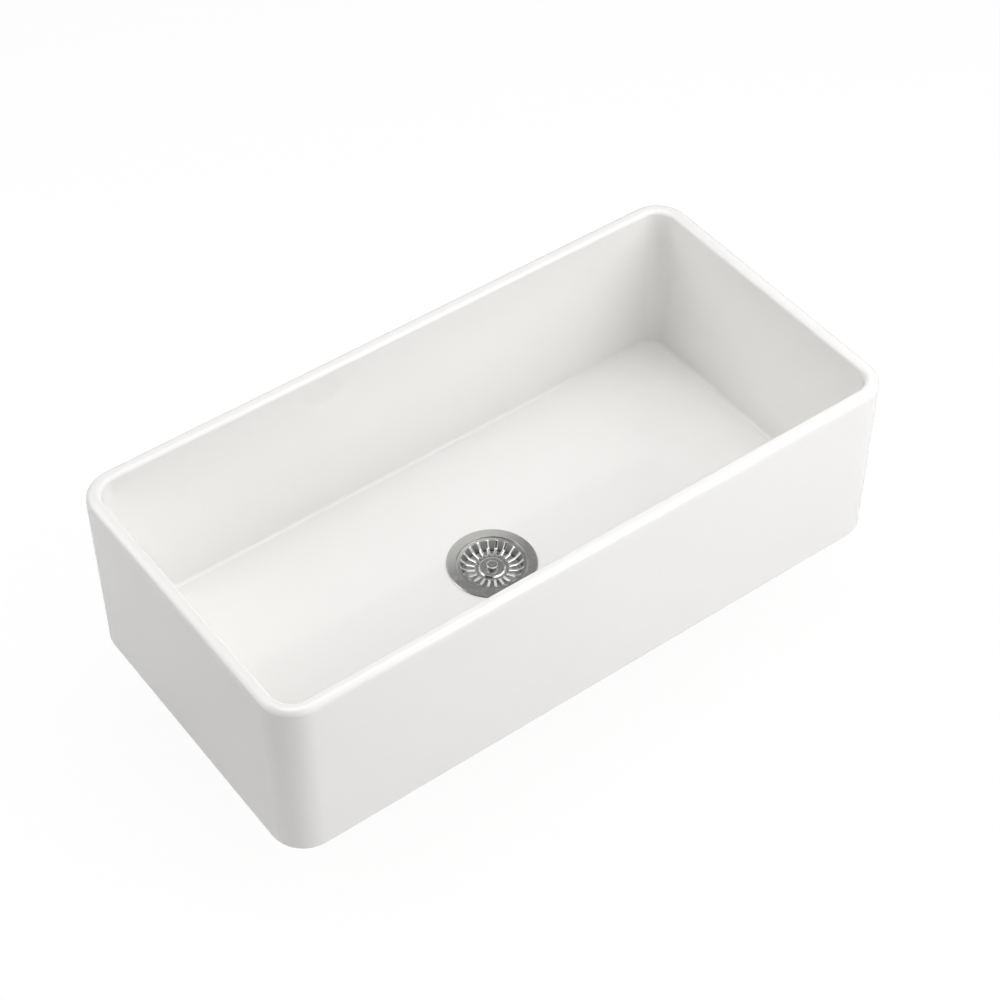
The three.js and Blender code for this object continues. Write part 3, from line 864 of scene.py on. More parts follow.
# ---------------------------------------------------------------- basin
@dataclass
class Basin:
    """Fireclay basin with an apron front, glazed inside and out.

    Attributes:
        wall: Thickness of the walls.
        corner: Radius of the upright outer corners.
        rim_outer: Rounding of the rim's outer edge.
        rim_inner: Rounding of the rim's inner edge.
        foot: Rounding round the underside.
        crease: Rounding between walls and floor.
        floor: Thickness of the floor at the outlet.
        fall: Fall of the floor from the walls to the outlet.
        land: Radius of the flat round the outlet.
        recess: Radius and depth of the gasket's recess.
        throat: Rounding at the top of the outlet.
        outlet: Radius of the outlet.
        relief: Radius and depth of the relief in the underside.
        waviness: How far the hand-finished walls wander.
        spacing: Distance between the columns of the mesh.
        near: How far to either side of the outlet they lie closer together.
        corner_steps: Columns round each upright corner.
        rows: Rows of the mesh on a wall, on the floor and on the underside.
    """

    wall: float = 19.0
    corner: float = 46.5
    rim_outer: float = 11.5
    rim_inner: float = 6.0
    foot: float = 3.5
    crease: float = 7.0
    floor: float = 15.0
    fall: float = 1.5
    land: float = 62.0
    recess: tuple[float, float] = (57.35, 1.5)
    throat: float = 6.0
    outlet: float = 45.0
    relief: tuple[float, float] = (61.1, 1.5)
    waviness: float = 0.12
    spacing: float = 15.0
    near: float = 60.0
    corner_steps: int = 22
    rows: tuple[int, int, int] = (16, 26, 14)

    def __post_init__(self) -> None:
        """Takes the outer sizes from the frame."""
        _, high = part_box("basin")
        self.half = (high.x / MM, high.y / MM)
        self.top = high.z / MM
        self.anchors = self.spread_anchors()

    def spread_anchors(self) -> Array:
        """Spreads the mesh's columns round the basin.

        Returns:
            Points on the line of the corners' centres, each with the way that it faces.
        """
        centre = [half - self.corner for half in self.half]
        fine = self.spacing / 2.5  # where the floor's loops turn round the outlet
        short = 4  # mm that the last column keeps from a corner
        x_side, y_side = (
            np.append(np.arange(0, self.near, fine),
                      np.arange(self.near, end - short, self.spacing))
            for end in centre
        )
        turns = np.linspace(0, TAU / 4, self.corner_steps + 1)
        quarter = [(centre[0], y, 0.0) for y in y_side]
        quarter += [(centre[0], centre[1], turn) for turn in turns]
        quarter += [(x, centre[1], TAU / 4) for x in x_side[::-1]]
        half = quarter + [(-x, y, TAU / 2 - turn) for x, y, turn in quarter[-2::-1]]
        return np.array(half + [(-x, -y, turn + TAU / 2) for x, y, turn in half[1:-1]])

    def rectangle(self, inset: float, height: float) -> Array:
        """One loop of the basin's outline.

        Args:
            inset: How far it is set in from the outside.
            height: Its height.

        Returns:
            The loop's points in millimetres.
        """
        x, y, turn = self.anchors.T
        reach = self.corner - inset
        flat = [x + reach * np.cos(turn), y + reach * np.sin(turn), np.full_like(x, height)]
        return np.stack(flat, axis=-1)

    def circle(self, radius: float, height: float) -> Array:
        """One loop about the outlet, with its points in line with those of the rectangles.

        Args:
            radius: Its radius.
            height: Its height.

        Returns:
            The loop's points in millimetres.
        """
        flat = self.rectangle(self.wall, 0.0)[:, :2]
        round_off = radius * flat / np.linalg.norm(flat, axis=1, keepdims=True)
        return np.column_stack([round_off, np.full(len(flat), height)])

    def between(self, start: Array, end: Array, steps: int) -> list[Array]:
        """Loops between two others, close together at either end.

        Args:
            start: The loop before them.
            end: The loop after them.
            steps: Number of rows from the one to the other.

        Returns:
            The loops, without the two given.
        """
        shares = [0.5 - 0.5 * math.cos(math.pi * k / steps) for k in range(1, steps)]
        loops = []
        for share in shares:
            loop = start + (end - start) * share
            loop[:, 2] = start[0, 2] + (end[0, 2] - start[0, 2]) * share * share * (3 - 2 * share)
            loops.append(loop)
        return loops

    def walls(self) -> list[Array]:
        """Draws the walls.

        Returns:
            Loops from the underside, over the rim and down to the floor.
        """
        edge = self.floor + self.fall
        rows = self.rows[0]
        margin = 5  # mm of flat beyond the roundings
        section = [
            Corner(self.foot + margin, 0), Corner(0, 0, self.foot, rows),
            Corner(0, self.top, self.rim_outer),
            Corner(self.wall, self.top, self.rim_inner, rows),
            Corner(self.wall, edge, self.crease), Corner(self.wall + self.crease + margin, edge),
        ]
        return [self.rectangle(inset, height) for inset, height in outline(section, closed=False)]

    def outlet_loops(self) -> list[Array]:
        """Draws the outlet.

        Returns:
            Loops from the floor, through the outlet to the relief in the underside.
        """
        radius, depth = self.recess
        relief, lift = self.relief
        section = [
            # the recess
            Corner(self.land, self.floor), Corner(radius, self.floor, 0.4),
            Corner(radius, self.floor - depth, 0.3),
            # the outlet
            Corner(self.outlet, self.floor - depth, self.throat), Corner(self.outlet, lift, 1.5),
            # the relief, its slanted side and a margin of the underside
            Corner(relief, lift, 1.0), Corner(relief + 2 * lift, 0, 1.0), Corner(relief + 8, 0),
        ]
        return [self.circle(*point) for point in outline(section, closed=False)]

    def waver(self, piece: bpy.types.Object) -> None:
        """Gives walls and floor the slight unevenness of clay that is finished by hand.

        Args:
            piece: The basin.
        """
        from_outlet, from_foot = 40, 20  # mm over which the unevenness grows to its full size
        true_foot = 4  # mm of the foot that stays true
        broad, close = 9, 23  # waves in a metre
        close_share = 0.35
        vertices = piece.data.vertices
        normals = [vertex.normal.copy() for vertex in vertices]
        for vertex, normal in zip(vertices, normals):
            here = vertex.co / MM
            away = (math.hypot(here.x, here.y) - self.land) / from_outlet
            clear = min(1.0, max(0.0, away))
            if here.z < self.floor - 1:
                clear *= min(1.0, max(0.0, (here.z - true_foot) / from_foot))
            sway = noise.noise(vertex.co * broad) + close_share * noise.noise(vertex.co * close)
            vertex.co += normal * (self.waviness * MM * clear * sway)

    def build(self) -> None:
        """Makes the basin."""
        walls, outlet = self.walls(), self.outlet_loops()
        floor = self.between(walls[-1], outlet[0], self.rows[1])
        underside = self.between(outlet[-1], walls[0], self.rows[2])
        grid = MM * np.array([*walls, *floor, *outlet, *underside])
        piece = Skin().add(grid, wrap_rows=True).piece("fireclay_basin")
        self.waver(piece)
        finished(piece, "basin", Body.SINK, GLAZE)


# ---------------------------------------------------------------- strainer body
@dataclass
class StrainerBody:
    """Flange, threaded neck, stopper's seat, ported plate and spud of the waste, in one piece.

    Attributes:
        floor: Height of the basin's floor at the outlet.
        edge: Height of the flange's edge above the floor.
        chamfer: Width and height of the chamfer on it.
        mouth: Radius of the mouth.
        ledge: How far below the flange the basket's ledge lies.
        neck: Outer radius of the threaded neck.
        seat: Top and foot of the stopper's conical seat, each as radius and height. The cup
            above it is as wide as its top.
        plate: Top and underside of the ported plate.
        spud: Outer radius, bore and plain shoulder of the outlet spud.
        hub: Radius, bore, top and underside of the hub that holds the stem's bush.
        ports: Number of ports, their radius and their distance from the axis.
        dish: How far the flange's underside lies above the floor inside its edge.
        sides: Columns of the mesh round the axis.
    """

    floor: float = 15.0
    edge: float = 1.6
    chamfer: tuple[float, float] = (1.3, 0.92)
    mouth: float = 46.3
    ledge: float = 2.9
    neck: float = 43.8
    seat: tuple[tuple[float, float], tuple[float, float]] = ((41.6, -6.5), (31.0, -11.5))
    plate: tuple[float, float] = (-20.5, -23.5)
    spud: tuple[float, float, float] = (23.0, 18.5, 5.0)
    hub: tuple[float, float, float, float] = (8.0, 6.0, -16.5, -26.5)
    ports: tuple[int, float, float] = (6, 4.2, 13.25)
    dish: float = 0.75
    sides: int = Sides.WIDE

    def __post_init__(self) -> None:
        """Takes the outer sizes from the frame."""
        self.outer = Envelope.of("strainer_body")
        radius, _, shoulder = self.spud
        self.neck_bottom = self.plate[0] + 1.3
        self.neck_thread = Thread(
            self.neck, depth=0.8, pitch=2.3, bottom=self.neck_bottom, top=self.floor - 12
        )
        self.spud_thread = Thread(
            radius, depth=0.7, pitch=2.2, bottom=self.outer.bottom, top=self.plate[1] - shoulder
        )

    def outside(self) -> list[Corner]:
        """Draws the outside.

        Returns:
            Corners from the spud's bore round the outside to the flange's edge.
        """
        radius, bore, _ = self.spud
        shoulder, rim = self.spud_thread.top, self.outer.radius
        under, hollow = self.floor + GAP, self.floor + self.dish
        return [
            # the spud, its shoulder and the slope to the neck
            Corner(bore, self.plate[1]), Corner(bore, self.outer.bottom, 0.4),
            Corner(radius, self.outer.bottom, 0.5, self.spud_thread.rows),
            Corner(radius, shoulder), Corner(radius + 1.5, shoulder + 1.5, 0.8),
            Corner(self.neck - 3.5, self.neck_bottom - 2.5, 1.5),
            # the neck, whose plain end swells out under the flange
            Corner(self.neck, self.neck_bottom, 0.6, self.neck_thread.rows),
            Corner(self.neck, self.neck_thread.top), Corner(self.neck, self.floor - 7.5),
            Corner(self.neck + 2.4, self.floor - 2.3, 3),
            Corner(self.mouth + 3.3, self.floor - 0.7, 1.5),
            # the flange's hollow underside and the edge that it rests on
            Corner(self.mouth + 4.3, hollow, 0.6), Corner(rim - 1.8, hollow, 0.3),
            Corner(rim - 1.2, under), Corner(rim, under, 0.1),
        ]

    def inside(self) -> list[Corner]:
        """Draws the inside.

        Returns:
            Corners from the flange's edge over the mouth and down to the plate.
        """
        top, rim = self.outer.top, self.outer.radius
        ledge = top - self.ledge
        width, drop = self.chamfer
        (cup, seat_top), (foot, seat_bottom) = self.seat
        _, bore, _ = self.spud
        return [
            # the chamfer on the flange's edge
            Corner(rim, self.floor + self.edge - drop, 0.1),
            Corner(rim - width, self.floor + self.edge, 0.1),
            # the mouth and the basket's ledge
            Corner(self.mouth, top, 0.5), Corner(self.mouth, ledge, 0.3), Corner(cup, ledge, 0.8),
            # the seat, and the pan down to the plate
            Corner(cup, seat_top, 0.6), Corner(foot, seat_bottom, 0.8),
            Corner(foot - 1.5, seat_bottom - 1.5, 1.0), Corner(bore + 1, self.plate[0]),
        ]

    def hub_section(self) -> list[Corner]:
        """Draws the hub.

        Returns:
            Corners from the plate's top over the hub and through it to the underside.
        """
        radius, bore, top, bottom = self.hub
        return [
            Corner(radius, self.plate[0]), Corner(radius, top, 0.4), Corner(bore, top, 0.2),
            Corner(bore, bottom, 0.2), Corner(radius, bottom, 0.8), Corner(radius, self.plate[1]),
        ]

    def port_grid(self, sector: int) -> Array:
        """Top, port wall and underside of one sector of the plate, as loops round the port.

        Args:
            sector: Number of the sector.

        Returns:
            A grid of points in metres.
        """
        count, port, distance = self.ports
        hub, bore = self.hub[0], self.spud[1]
        steps = self.sides // count
        turns = TAU / count * (sector + np.linspace(-0.5, 0.5, steps + 1))
        middle = complex(distance * math.cos(TAU / count * sector),
                         distance * math.sin(TAU / count * sector))

        def border(outer: float) -> Array:
            """The sector's edge, round the outside and back round the hub.

            Args:
                outer: Radius of the outside.

            Returns:
                The edge's points.
            """
            spokes = np.linspace(0, 1, 9)[1:-1]
            far, near = outer * np.exp(1j * turns), hub * np.exp(1j * turns[::-1])
            inward = far[-1] + (near[0] - far[-1]) * spokes
            outward = near[-1] + (far[0] - near[-1]) * spokes
            return np.concatenate([far, inward, near, outward])

        def ring(rim: Array, radius: float) -> Array:
            """A circle about the port, with its points in line with those of the edge."""
            return middle + radius * (rim - middle) / np.abs(rim - middle)

        top, bottom = self.plate
        upper, lower = border(bore + 1), border(bore)
        ease = 0.35
        loops = [(upper, top), ((upper + ring(upper, port + ease)) / 2, top)]
        loops += [(ring(upper, port + ease), top), (ring(upper, port), top - ease)]
        loops += [(ring(lower, port), bottom + ease), (ring(lower, port + ease), bottom)]
        loops += [((lower + ring(lower, port + ease)) / 2, bottom), (lower, bottom)]
        return MM * np.array([
            np.column_stack([loop.real, loop.imag, np.full(len(loop), height)])
            for loop, height in loops
        ])

    def build(self) -> None:
        """Makes the body."""
        def cut(theta: Array, radius: Array, height: Array) -> tuple[Array, Array]:
            """Cuts both threads."""
            radius, height = self.neck_thread(theta, radius, height)
            return self.spud_thread(theta, radius, height)

        angles = around(self.sides)
        shell = outline(self.outside() + self.inside(), closed=False)
        skin = Skin().add(swept(shell, angles, cut))
        skin.add(swept(outline(self.hub_section(), closed=False), angles))
        for sector in range(self.ports[0]):
            skin.add(self.port_grid(sector))
        finished(skin.piece("waste_body"), "strainer_body", Body.SINK, SATIN_STEEL)


# ---------------------------------------------------------------- clamping set under the basin
@dataclass
class ClampingSet:
    """What holds the waste in the basin: gasket, washer, friction ring and locknut.

    Attributes:
        hole: Bore of the pieces that go over the neck.
        gasket_inner: Inner radius of the gasket under the flange.
        nut_width: Width of the locknut's plain ring.
        nut_flange: Width and thickness of its flange.
        lugs: Number of its lugs.
        lug_half: Half the angle that a lug takes up.
    """

    hole: float = 44.1
    gasket_inner: float = 51.3
    nut_width: float = 6.4
    nut_flange: tuple[float, float] = (10.5, 2.0)
    lugs: int = 6
    lug_half: float = math.radians(6.6)

    def washer(self, name: str, node: str, inner: float, ease: float, finish: Finish) -> None:
        """Makes a flat ring with eased edges that fills its node's box.

        Args:
            name: The piece's name.
            node: The frame's node that it stands for.
            inner: Its inner radius.
            ease: Rounding of its edges.
            finish: What it is made of.
        """
        size = Envelope.of(node)
        piece = turned(name, ring_section(inner, size, ease), Sides.WIDE)
        finished(piece, node, Body.SINK, finish)

    def lug_angles(self) -> Array:
        """Spreads the locknut's columns.

        Returns:
            Angles that lie close together at the flanks of the lugs.
        """
        near = self.lug_half * np.sin(np.linspace(-1, 1, 17) * TAU / 4)
        pitch = TAU / self.lugs
        far = np.linspace(self.lug_half, pitch - self.lug_half, 14)[1:-1]
        return np.concatenate([k * pitch + np.append(near, far) for k in range(self.lugs)])

    def nut_rows(self, outer: float, ledge: float, step: float) -> Array:
        """The locknut's section at one angle.

        Args:
            outer: Radius of the outside.
            ledge: Height of its top, where the flange starts.
            step: Radius of the flange.

        Returns:
            The section's points.
        """
        size = Envelope.of("locknut")
        return outline([
            Corner(self.hole, size.bottom, 0.4), Corner(outer, size.bottom, 0.9),
            Corner(outer, ledge, 0.6), Corner(step, ledge + NEAR, 0.1),
            Corner(step, size.top, 0.5), Corner(self.hole, size.top, 0.4),
        ])

    def build_locknut(self) -> None:
        """Makes the cast locknut, whose section swells out to a lug at six places."""
        size = Envelope.of("locknut")
        width, thickness = self.nut_flange
        angles = self.lug_angles()
        outer, step = self.hole + self.nut_width, self.hole + width
        plain = swept(self.nut_rows(outer, size.top - thickness, step), angles)
        lug = swept(self.nut_rows(size.radius, size.top - thickness / 2, step), angles)
        pitch = TAU / self.lugs
        offset = np.abs((angles + pitch / 2) % pitch - pitch / 2) / self.lug_half
        swell = np.clip(1 - np.clip(offset, 0, 1) ** 4, 0, 1) ** 0.4
        rows = plain + (lug - plain) * swell[None, :, None]
        piece = Skin().add(rows, wrap_rows=True).piece("cast_locknut")
        finished(piece, "locknut", Body.SINK, CAST_ZINC)

    def build(self) -> None:
        """Makes the set from the top down."""
        self.washer("flange_seal", "flange_gasket", self.gasket_inner, 0.35, BLACK_RUBBER)
        self.washer("rubber_washer", "sink_washer", self.hole, 0.7, BLACK_RUBBER)
        self.washer("fibre_friction_ring", "friction_ring", self.hole, 0.12, FIBRE)
        self.build_locknut()


def ring_section(inner: float, size: Envelope, ease: float) -> list[Corner]:
    """Section of a flat ring.

    Args:
        inner: Its inner radius.
        size: The box that it fills.
        ease: Rounding of its edges.

    Returns:
        Its four corners.
    """
    return [
        Corner(inner, size.bottom, ease), Corner(size.radius, size.bottom, ease),
        Corner(size.radius, size.top, ease), Corner(inner, size.top, ease),
    ]


# ---------------------------------------------------------------- outlet tube
@dataclass
class OutletTube:
    """Tailpiece with its washer and the coupling nut that holds it to the spud.

    Attributes:
        tube: Outer radius of the tube.
        wall: Thickness of its wall.
        collar: Thickness of its flange.
        flats: Width of the coupling nut across its flats.
        lip: Thickness of the nut's lip under the tube's flange.
        thread_hole: Radius of the nut's thread.
    """

    tube: float = 19.05
    wall: float = 1.2
    collar: float = 1.2
    flats: float = 56.0
    lip: float = 2.3
    thread_hole: float = 23.3

    def build_tailpiece(self) -> None:
        """Makes the plated tube, flanged at its top and faced off at its end."""
        size = Envelope.of("tailpiece")
        bore = self.tube - self.wall
        section = [
            Corner(bore, size.bottom, 0.3), Corner(self.tube, size.bottom, 0.4, 12),
            Corner(self.tube, size.top - self.collar, 0.5),
            Corner(size.radius, size.top - self.collar, 0.4),
            Corner(size.radius, size.top, 0.4), Corner(bore, size.top, 0.5, 12),
        ]
        piece = turned("plated_tailpiece", section, Sides.MIDDLING)
        finished(piece, "tailpiece", Body.SINK, CHROME_PLATE)

    def build_nut(self) -> None:
        """Makes the coupling nut with a lip that the tube hangs by."""
        size = Envelope.of("coupling_nut")
        outside = Hexagon(self.flats, size.bottom, size.top)
        hole = self.tube + GAP
        lip_top = size.bottom + self.lip
        section = [
            Corner(hole, size.bottom, 0.4), Corner(outside.face, size.bottom),
            Corner(self.flats / 2, size.bottom), Corner(self.flats / 2, size.top),
            Corner(outside.face, size.top), Corner(self.thread_hole, size.top, 0.8, 8),
            Corner(self.thread_hole, lip_top, 0.4), Corner(hole, lip_top, 0.3),
        ]
        piece = turned("cast_coupling_nut", section, Sides.WIDE, outside)
        finished(piece, "coupling_nut", Body.SINK, CAST_ZINC)

    def build(self) -> None:
        """Makes the set."""
        section = ring_section(self.tube - self.wall, Envelope.of("tailpiece_washer"), 0.4)
        piece = turned("tube_washer", section, Sides.MIDDLING)
        finished(piece, "tailpiece_washer", Body.SINK, NYLON)
        self.build_nut()
        self.build_tailpiece()


# ---------------------------------------------------------------- basket
@dataclass
class Basket:
    """Pressed strainer basket with its centre plate, knob and stem.

    Attributes:
        sheet: Thickness of the sheet.
        ring: Inner radius of the flat ring.
        foot: Radius of the wall's foot.
        depth: Height from the ring down to the wall's foot.
        slots: Number of slots.
        strip: Width of the metal between two slots.
        slot_inner: Radius at which the slots end.
        slot_reach: How far the slots run out into the flat ring.
        slot_corner: Rounding of the slots' corners.
        crown: How much higher a strip's middle is than its edges.
        hole: Radius of the stem's hole.
        edge: Width of the bevel on the sheet's edges.
        slant: Width and drop of the slanted edge of the centre plate.
        groove: Radius and half height of the O-ring's groove.
        neck: Radius of the stem's neck in the knob.
    """

    sheet: float = 0.9
    ring: float = 40.2
    foot: float = 33.2
    depth: float = 7.2
    slots: int = 20
    strip: float = 4.0
    slot_inner: float = 21.75
    slot_reach: float = 1.2
    slot_corner: float = 1.2
    crown: float = 0.5
    hole: float = 3.3
    edge: float = 0.1
    slant: tuple[float, float] = (2.0, 1.5)
    groove: tuple[float, float] = (2.2, 1.05)
    neck: float = 2.3

    def __post_init__(self) -> None:
        """Takes the outer sizes from the frame."""
        self.bowl = Envelope.of("basket_bowl")
        self.slot_outer = self.ring + self.slot_reach

    def profile(self, radii: Array) -> Array:
        """Height of the sheet's top face.

        Args:
            radii: The radii at which it is asked for.

        Returns:
            The height at each of them.
        """
        foot = self.bowl.top - self.depth
        centre = self.bowl.bottom + self.sheet
        points = outline([
            Corner(self.bowl.radius, self.bowl.top), Corner(self.ring + 0.6, self.bowl.top, 1.8),
            Corner(self.foot, foot, 3.5), Corner(self.slot_inner - 1, centre + 0.1, 4),
            Corner(self.hole, centre),
        ], closed=False)[::-1]
        return np.interp(radii, points[:, 0], points[:, 1])

    def radii(self) -> Array:
        """Spreads the sheet's rows.

        Returns:
            Radii that lie close together at the bends and at the ends of the slots.
        """
        ends = self.slot_corner * np.array([0, 0.12, 0.3, 0.55, 0.8, 1])
        outer = self.slot_outer - ends
        inner = self.slot_inner + ends[::-1]
        return np.concatenate([
            np.linspace(self.bowl.radius, self.ring + 2, 5),
            np.linspace(self.ring + 1.6, self.slot_outer, 8)[:-1], outer,
            np.linspace(outer[-1], self.foot + 2, 6)[1:],
            np.linspace(self.foot + 1.5, self.foot - 2, 9),
            np.linspace(self.foot - 2, inner[0], 9)[1:-1], inner,
            np.linspace(self.slot_inner, self.hole, 12)[1:],
        ])

    def strip_half(self, radius: float) -> float:
        """Half the width of the metal between two slots, which widens at the slots' ends.

        Args:
            radius: The radius at which it is asked for.

        Returns:
            The half width in millimetres.
        """
        end = min(abs(self.slot_outer - radius), abs(radius - self.slot_inner))
        inside = self.slot_inner <= radius <= self.slot_outer
        left = max(0.0, self.slot_corner - end) if inside else self.slot_corner
        return self.strip / 2 + self.slot_corner - math.sqrt(self.slot_corner**2 - left**2)

    def build_bowl(self) -> None:
        """Makes the pressed sheet with its slots."""
        radii = self.radii()
        heights = self.profile(radii)
        pitch = TAU / self.slots
        strip_cells, slot_cells = 6, 4
        run_in = 3  # mm from a slot's end to where the strip is fully crowned
        across = np.linspace(-1, 1, strip_cells + 1)[:-1]
        rows = []
        for radius, height in zip(radii, heights):
            half = math.asin(self.strip_half(radius) / max(radius, self.slot_inner))
            gap = np.linspace(half, pitch - half, slot_cells + 1)[:-1]
            angles = np.concatenate([
                (k + 0.5) * pitch + np.append(half * across, gap) for k in range(self.slots)
            ])
            slotted = self.slot_inner < radius < self.slot_outer
            end = min(self.slot_outer - radius, radius - self.slot_inner) if slotted else 0.0
            rise = self.crown * min(1.0, end / run_in)
            bend = np.tile(np.append(1 - across**2, np.zeros(slot_cells)), self.slots)
            level = height + rise * (bend - 1)
            rows.append(np.column_stack([radius * np.cos(angles), radius * np.sin(angles), level]))
        middle = (radii[:-1] + radii[1:]) / 2
        in_slot = (middle > self.slot_inner) & (middle < self.slot_outer)
        cells = np.tile([False] * strip_cells + [True] * slot_cells, self.slots)
        keep = ~(in_slot[:, None] & cells[None, :])
        piece = Skin().add(MM * np.array(rows), keep=keep).piece("pressed_basket")
        if sum(polygon.normal.z for polygon in piece.data.polygons) < 0:
            piece.data.flip_normals()
        plate = piece.modifiers.new("sheet", "SOLIDIFY")
        plate.thickness, plate.offset, plate.use_even_offset = self.sheet * MM, -1, True
        edges = piece.modifiers.new("edges", "BEVEL")
        edges.width, edges.segments, edges.limit_method = self.edge * MM, 2, "ANGLE"
        edges.angle_limit = math.radians(55)  # only the sheet's cut edges turn as much
        settle(piece)
        still_smooth = math.radians(50)  # the bevel's two steps stay below it
        piece.data.set_sharp_from_angle(angle=still_smooth)
        finished(piece, "basket_bowl", Body.BASKET, POLISHED_STEEL)

    def build_plate(self) -> None:
        """Makes the raised disc in the basket's centre."""
        size = Envelope.of("basket_centre_plate")
        slant, drop = self.slant
        section = [
            Corner(self.hole, size.bottom, 0.2), Corner(size.radius, size.bottom, 0.1),
            Corner(size.radius, size.top - drop, 0.1),
            Corner(size.radius - slant, size.top, 0.4),
            # the top is very slightly dished
            Corner(self.hole + 4.5, size.top - 0.1, 3), Corner(self.hole, size.top - 0.05, 0.2),
        ]
        piece = turned("basket_centre_disc", section, Sides.MIDDLING)
        finished(piece, "basket_centre_plate", Body.BASKET, POLISHED_STEEL)

    def build_knob(self) -> None:
        """Makes the small pull knob."""
        size = Envelope.of("basket_knob")
        socket, depth = 2.6, 1.8
        section = [
            Corner(0, size.bottom + depth), Corner(socket, size.bottom + depth),
            Corner(socket, size.bottom, 0.2), Corner(size.radius - 1.4, size.bottom, 0.4),
            Corner(size.radius, size.bottom + 1.5, 0.8),
            Corner(size.radius - 0.1, size.top - 0.1, 0.7),
            Corner(size.radius - 3, size.top, 2), Corner(0, size.top - 0.05),
        ]
        piece = turned("pull_knob", section, Sides.NARROW)
        finished(piece, "basket_knob", Body.BASKET, POLISHED_STEEL)

    def build_stem(self) -> None:
        """Makes the stem with the O-ring's groove, the nut's thread and the knob's collar."""
        size = Envelope.of("basket_stem")
        ring = Envelope.of("stem_o_ring")
        nut = Envelope.of("stem_nut")
        groove, groove_half = self.groove
        shaft, middle = self.hole - GAP, (ring.top + ring.bottom) / 2
        collar, collar_height = Envelope.of("basket_centre_plate").top + GAP, 0.9
        thread = Thread(
            shaft, depth=0.35, pitch=1.0, bottom=nut.bottom - 2.5, top=nut.top + 1.5
        )
        section = [
            # the pointed end and the groove
            Corner(0, size.bottom), Corner(shaft * 0.6, size.bottom, 0.3),
            Corner(shaft, size.bottom + 1.2, 0.3), Corner(shaft, middle - groove_half, 0.15),
            Corner(groove, middle - groove_half, 0.2), Corner(groove, middle + groove_half, 0.2),
            Corner(shaft, middle + groove_half, 0.15),
            # the thread
            Corner(shaft, thread.bottom, 0, thread.rows), Corner(shaft, thread.top),
            # the collar and the neck
            Corner(shaft, collar), Corner(size.radius, collar, 0.15),
            Corner(size.radius, collar + collar_height, 0.35),
            Corner(self.neck, collar + collar_height, 0.2),
            Corner(self.neck, size.top, 0.3), Corner(0, size.top),
        ]
        piece = turned("threaded_stem", section, Sides.THIN, thread)
        finished(piece, "basket_stem", Body.BASKET, POLISHED_STEEL)

    def build(self) -> None:
        """Makes the basket's pieces."""
        self.build_bowl()
        self.build_plate()
        self.build_knob()
        self.build_stem()


# ---------------------------------------------------------------- stopper and stem end
@dataclass
class Stopper:
    """Rubber stopper under the basket, what holds it on the stem, and the stem's guide.

    Attributes:
        hole: Radius of the stem's hole.
        lip: Outer and inner radius of the sealing lip, each with the height of its underside.
        lip_height: Thickness of the lip.
        waist: Radius of the waist above the lip.
        crown: Radius of the top.
        core: Height of the rubber at the stem.
        nut_flats: Width of the stem's nut across its flats.
        ring_section: Diameter of the O-ring's section.
        bush: Bore and outer radius of the bush.
        bush_flange: Thickness of its flange.
    """

    hole: float = 3.3
    lip: tuple[tuple[float, float], tuple[float, float]] = ((36.8, -8.3), (33.4, -9.9))
    lip_height: float = 2.2
    waist: float = 19.0
    crown: float = 16.0
    core: float = 9.7
    nut_flats: float = 10.0
    ring_section: float = 1.6
    bush: tuple[float, float] = (4.3, 5.7)
    bush_flange: float = 1.2

    def build_stopper(self) -> None:
        """Makes the moulded stopper with its thin lip."""
        size = Envelope.of("stopper")
        bottom = size.top - self.core
        (outer, outer_z), (inner, inner_z) = self.lip
        lip_top = outer_z + self.lip_height
        section = [
            # the underside, out to the lip
            Corner(self.hole, bottom, 0.3), Corner(13, bottom, 2),
            Corner(inner - 1.6, inner_z + 1.9, 1.5),
            # the lip
            Corner(inner, inner_z, 0.4), Corner(outer, outer_z, 0.35),
            Corner(outer - 0.3, lip_top, 0.7),
            # the bell's top
            Corner(self.waist + 4, bottom + 3.8, 5), Corner(self.waist, bottom + 6, 2),
            Corner(self.crown, size.top, 0.8), Corner(self.hole, size.top, 0.3),
        ]
        piece = turned("rubber_stopper", section, Sides.MIDDLING)
        finished(piece, "stopper", Body.BASKET, GREY_RUBBER)

    def build_fixings(self) -> None:
        """Makes the backing washer, the nut and the O-ring on the stem."""
        washer = ring_section(self.hole, Envelope.of("stopper_washer"), 0.25)
        piece = turned("stopper_backing_washer", washer, Sides.NARROW)
        finished(piece, "stopper_washer", Body.BASKET, POLISHED_STEEL)
        size = Envelope.of("stem_nut")
        outside = Hexagon(self.nut_flats, size.bottom, size.top)
        section = outside.section(self.hole)
        piece = turned("brass_stem_nut", section, Sides.NARROW, outside)
        finished(piece, "stem_nut", Body.BASKET, BRASS)
        ring = Envelope.of("stem_o_ring")
        half = self.ring_section / 2
        corners = [
            Corner(ring.radius - half + sx * half, (ring.top + ring.bottom) / 2 + sz * half, half)
            for sx, sz in ((-1, -1), (1, -1), (1, 1), (-1, 1))
        ]
        piece = turned("stem_o_ring_seal", corners, Sides.SMALL)
        finished(piece, "stem_o_ring", Body.O_RING, BLACK_RUBBER)

    def build_bush(self) -> None:
        """Makes the flanged bush in the hub."""
        size = Envelope.of("stem_bush")
        bore, outer = self.bush
        under = size.top - self.bush_flange
        section = [
            Corner(bore, size.bottom, 0.3), Corner(outer, size.bottom, 0.5),
            Corner(outer, under, 0.15), Corner(size.radius, under, 0.2),
            Corner(size.radius, size.top, 0.4), Corner(bore, size.top, 0.6),
        ]
        piece = turned("nylon_bush", section, Sides.SMALL)
        finished(piece, "stem_bush", Body.SINK, NYLON)

    def build(self) -> None:
        """Makes the pieces from the top down."""
        self.build_stopper()
        self.build_fixings()
        self.build_bush()


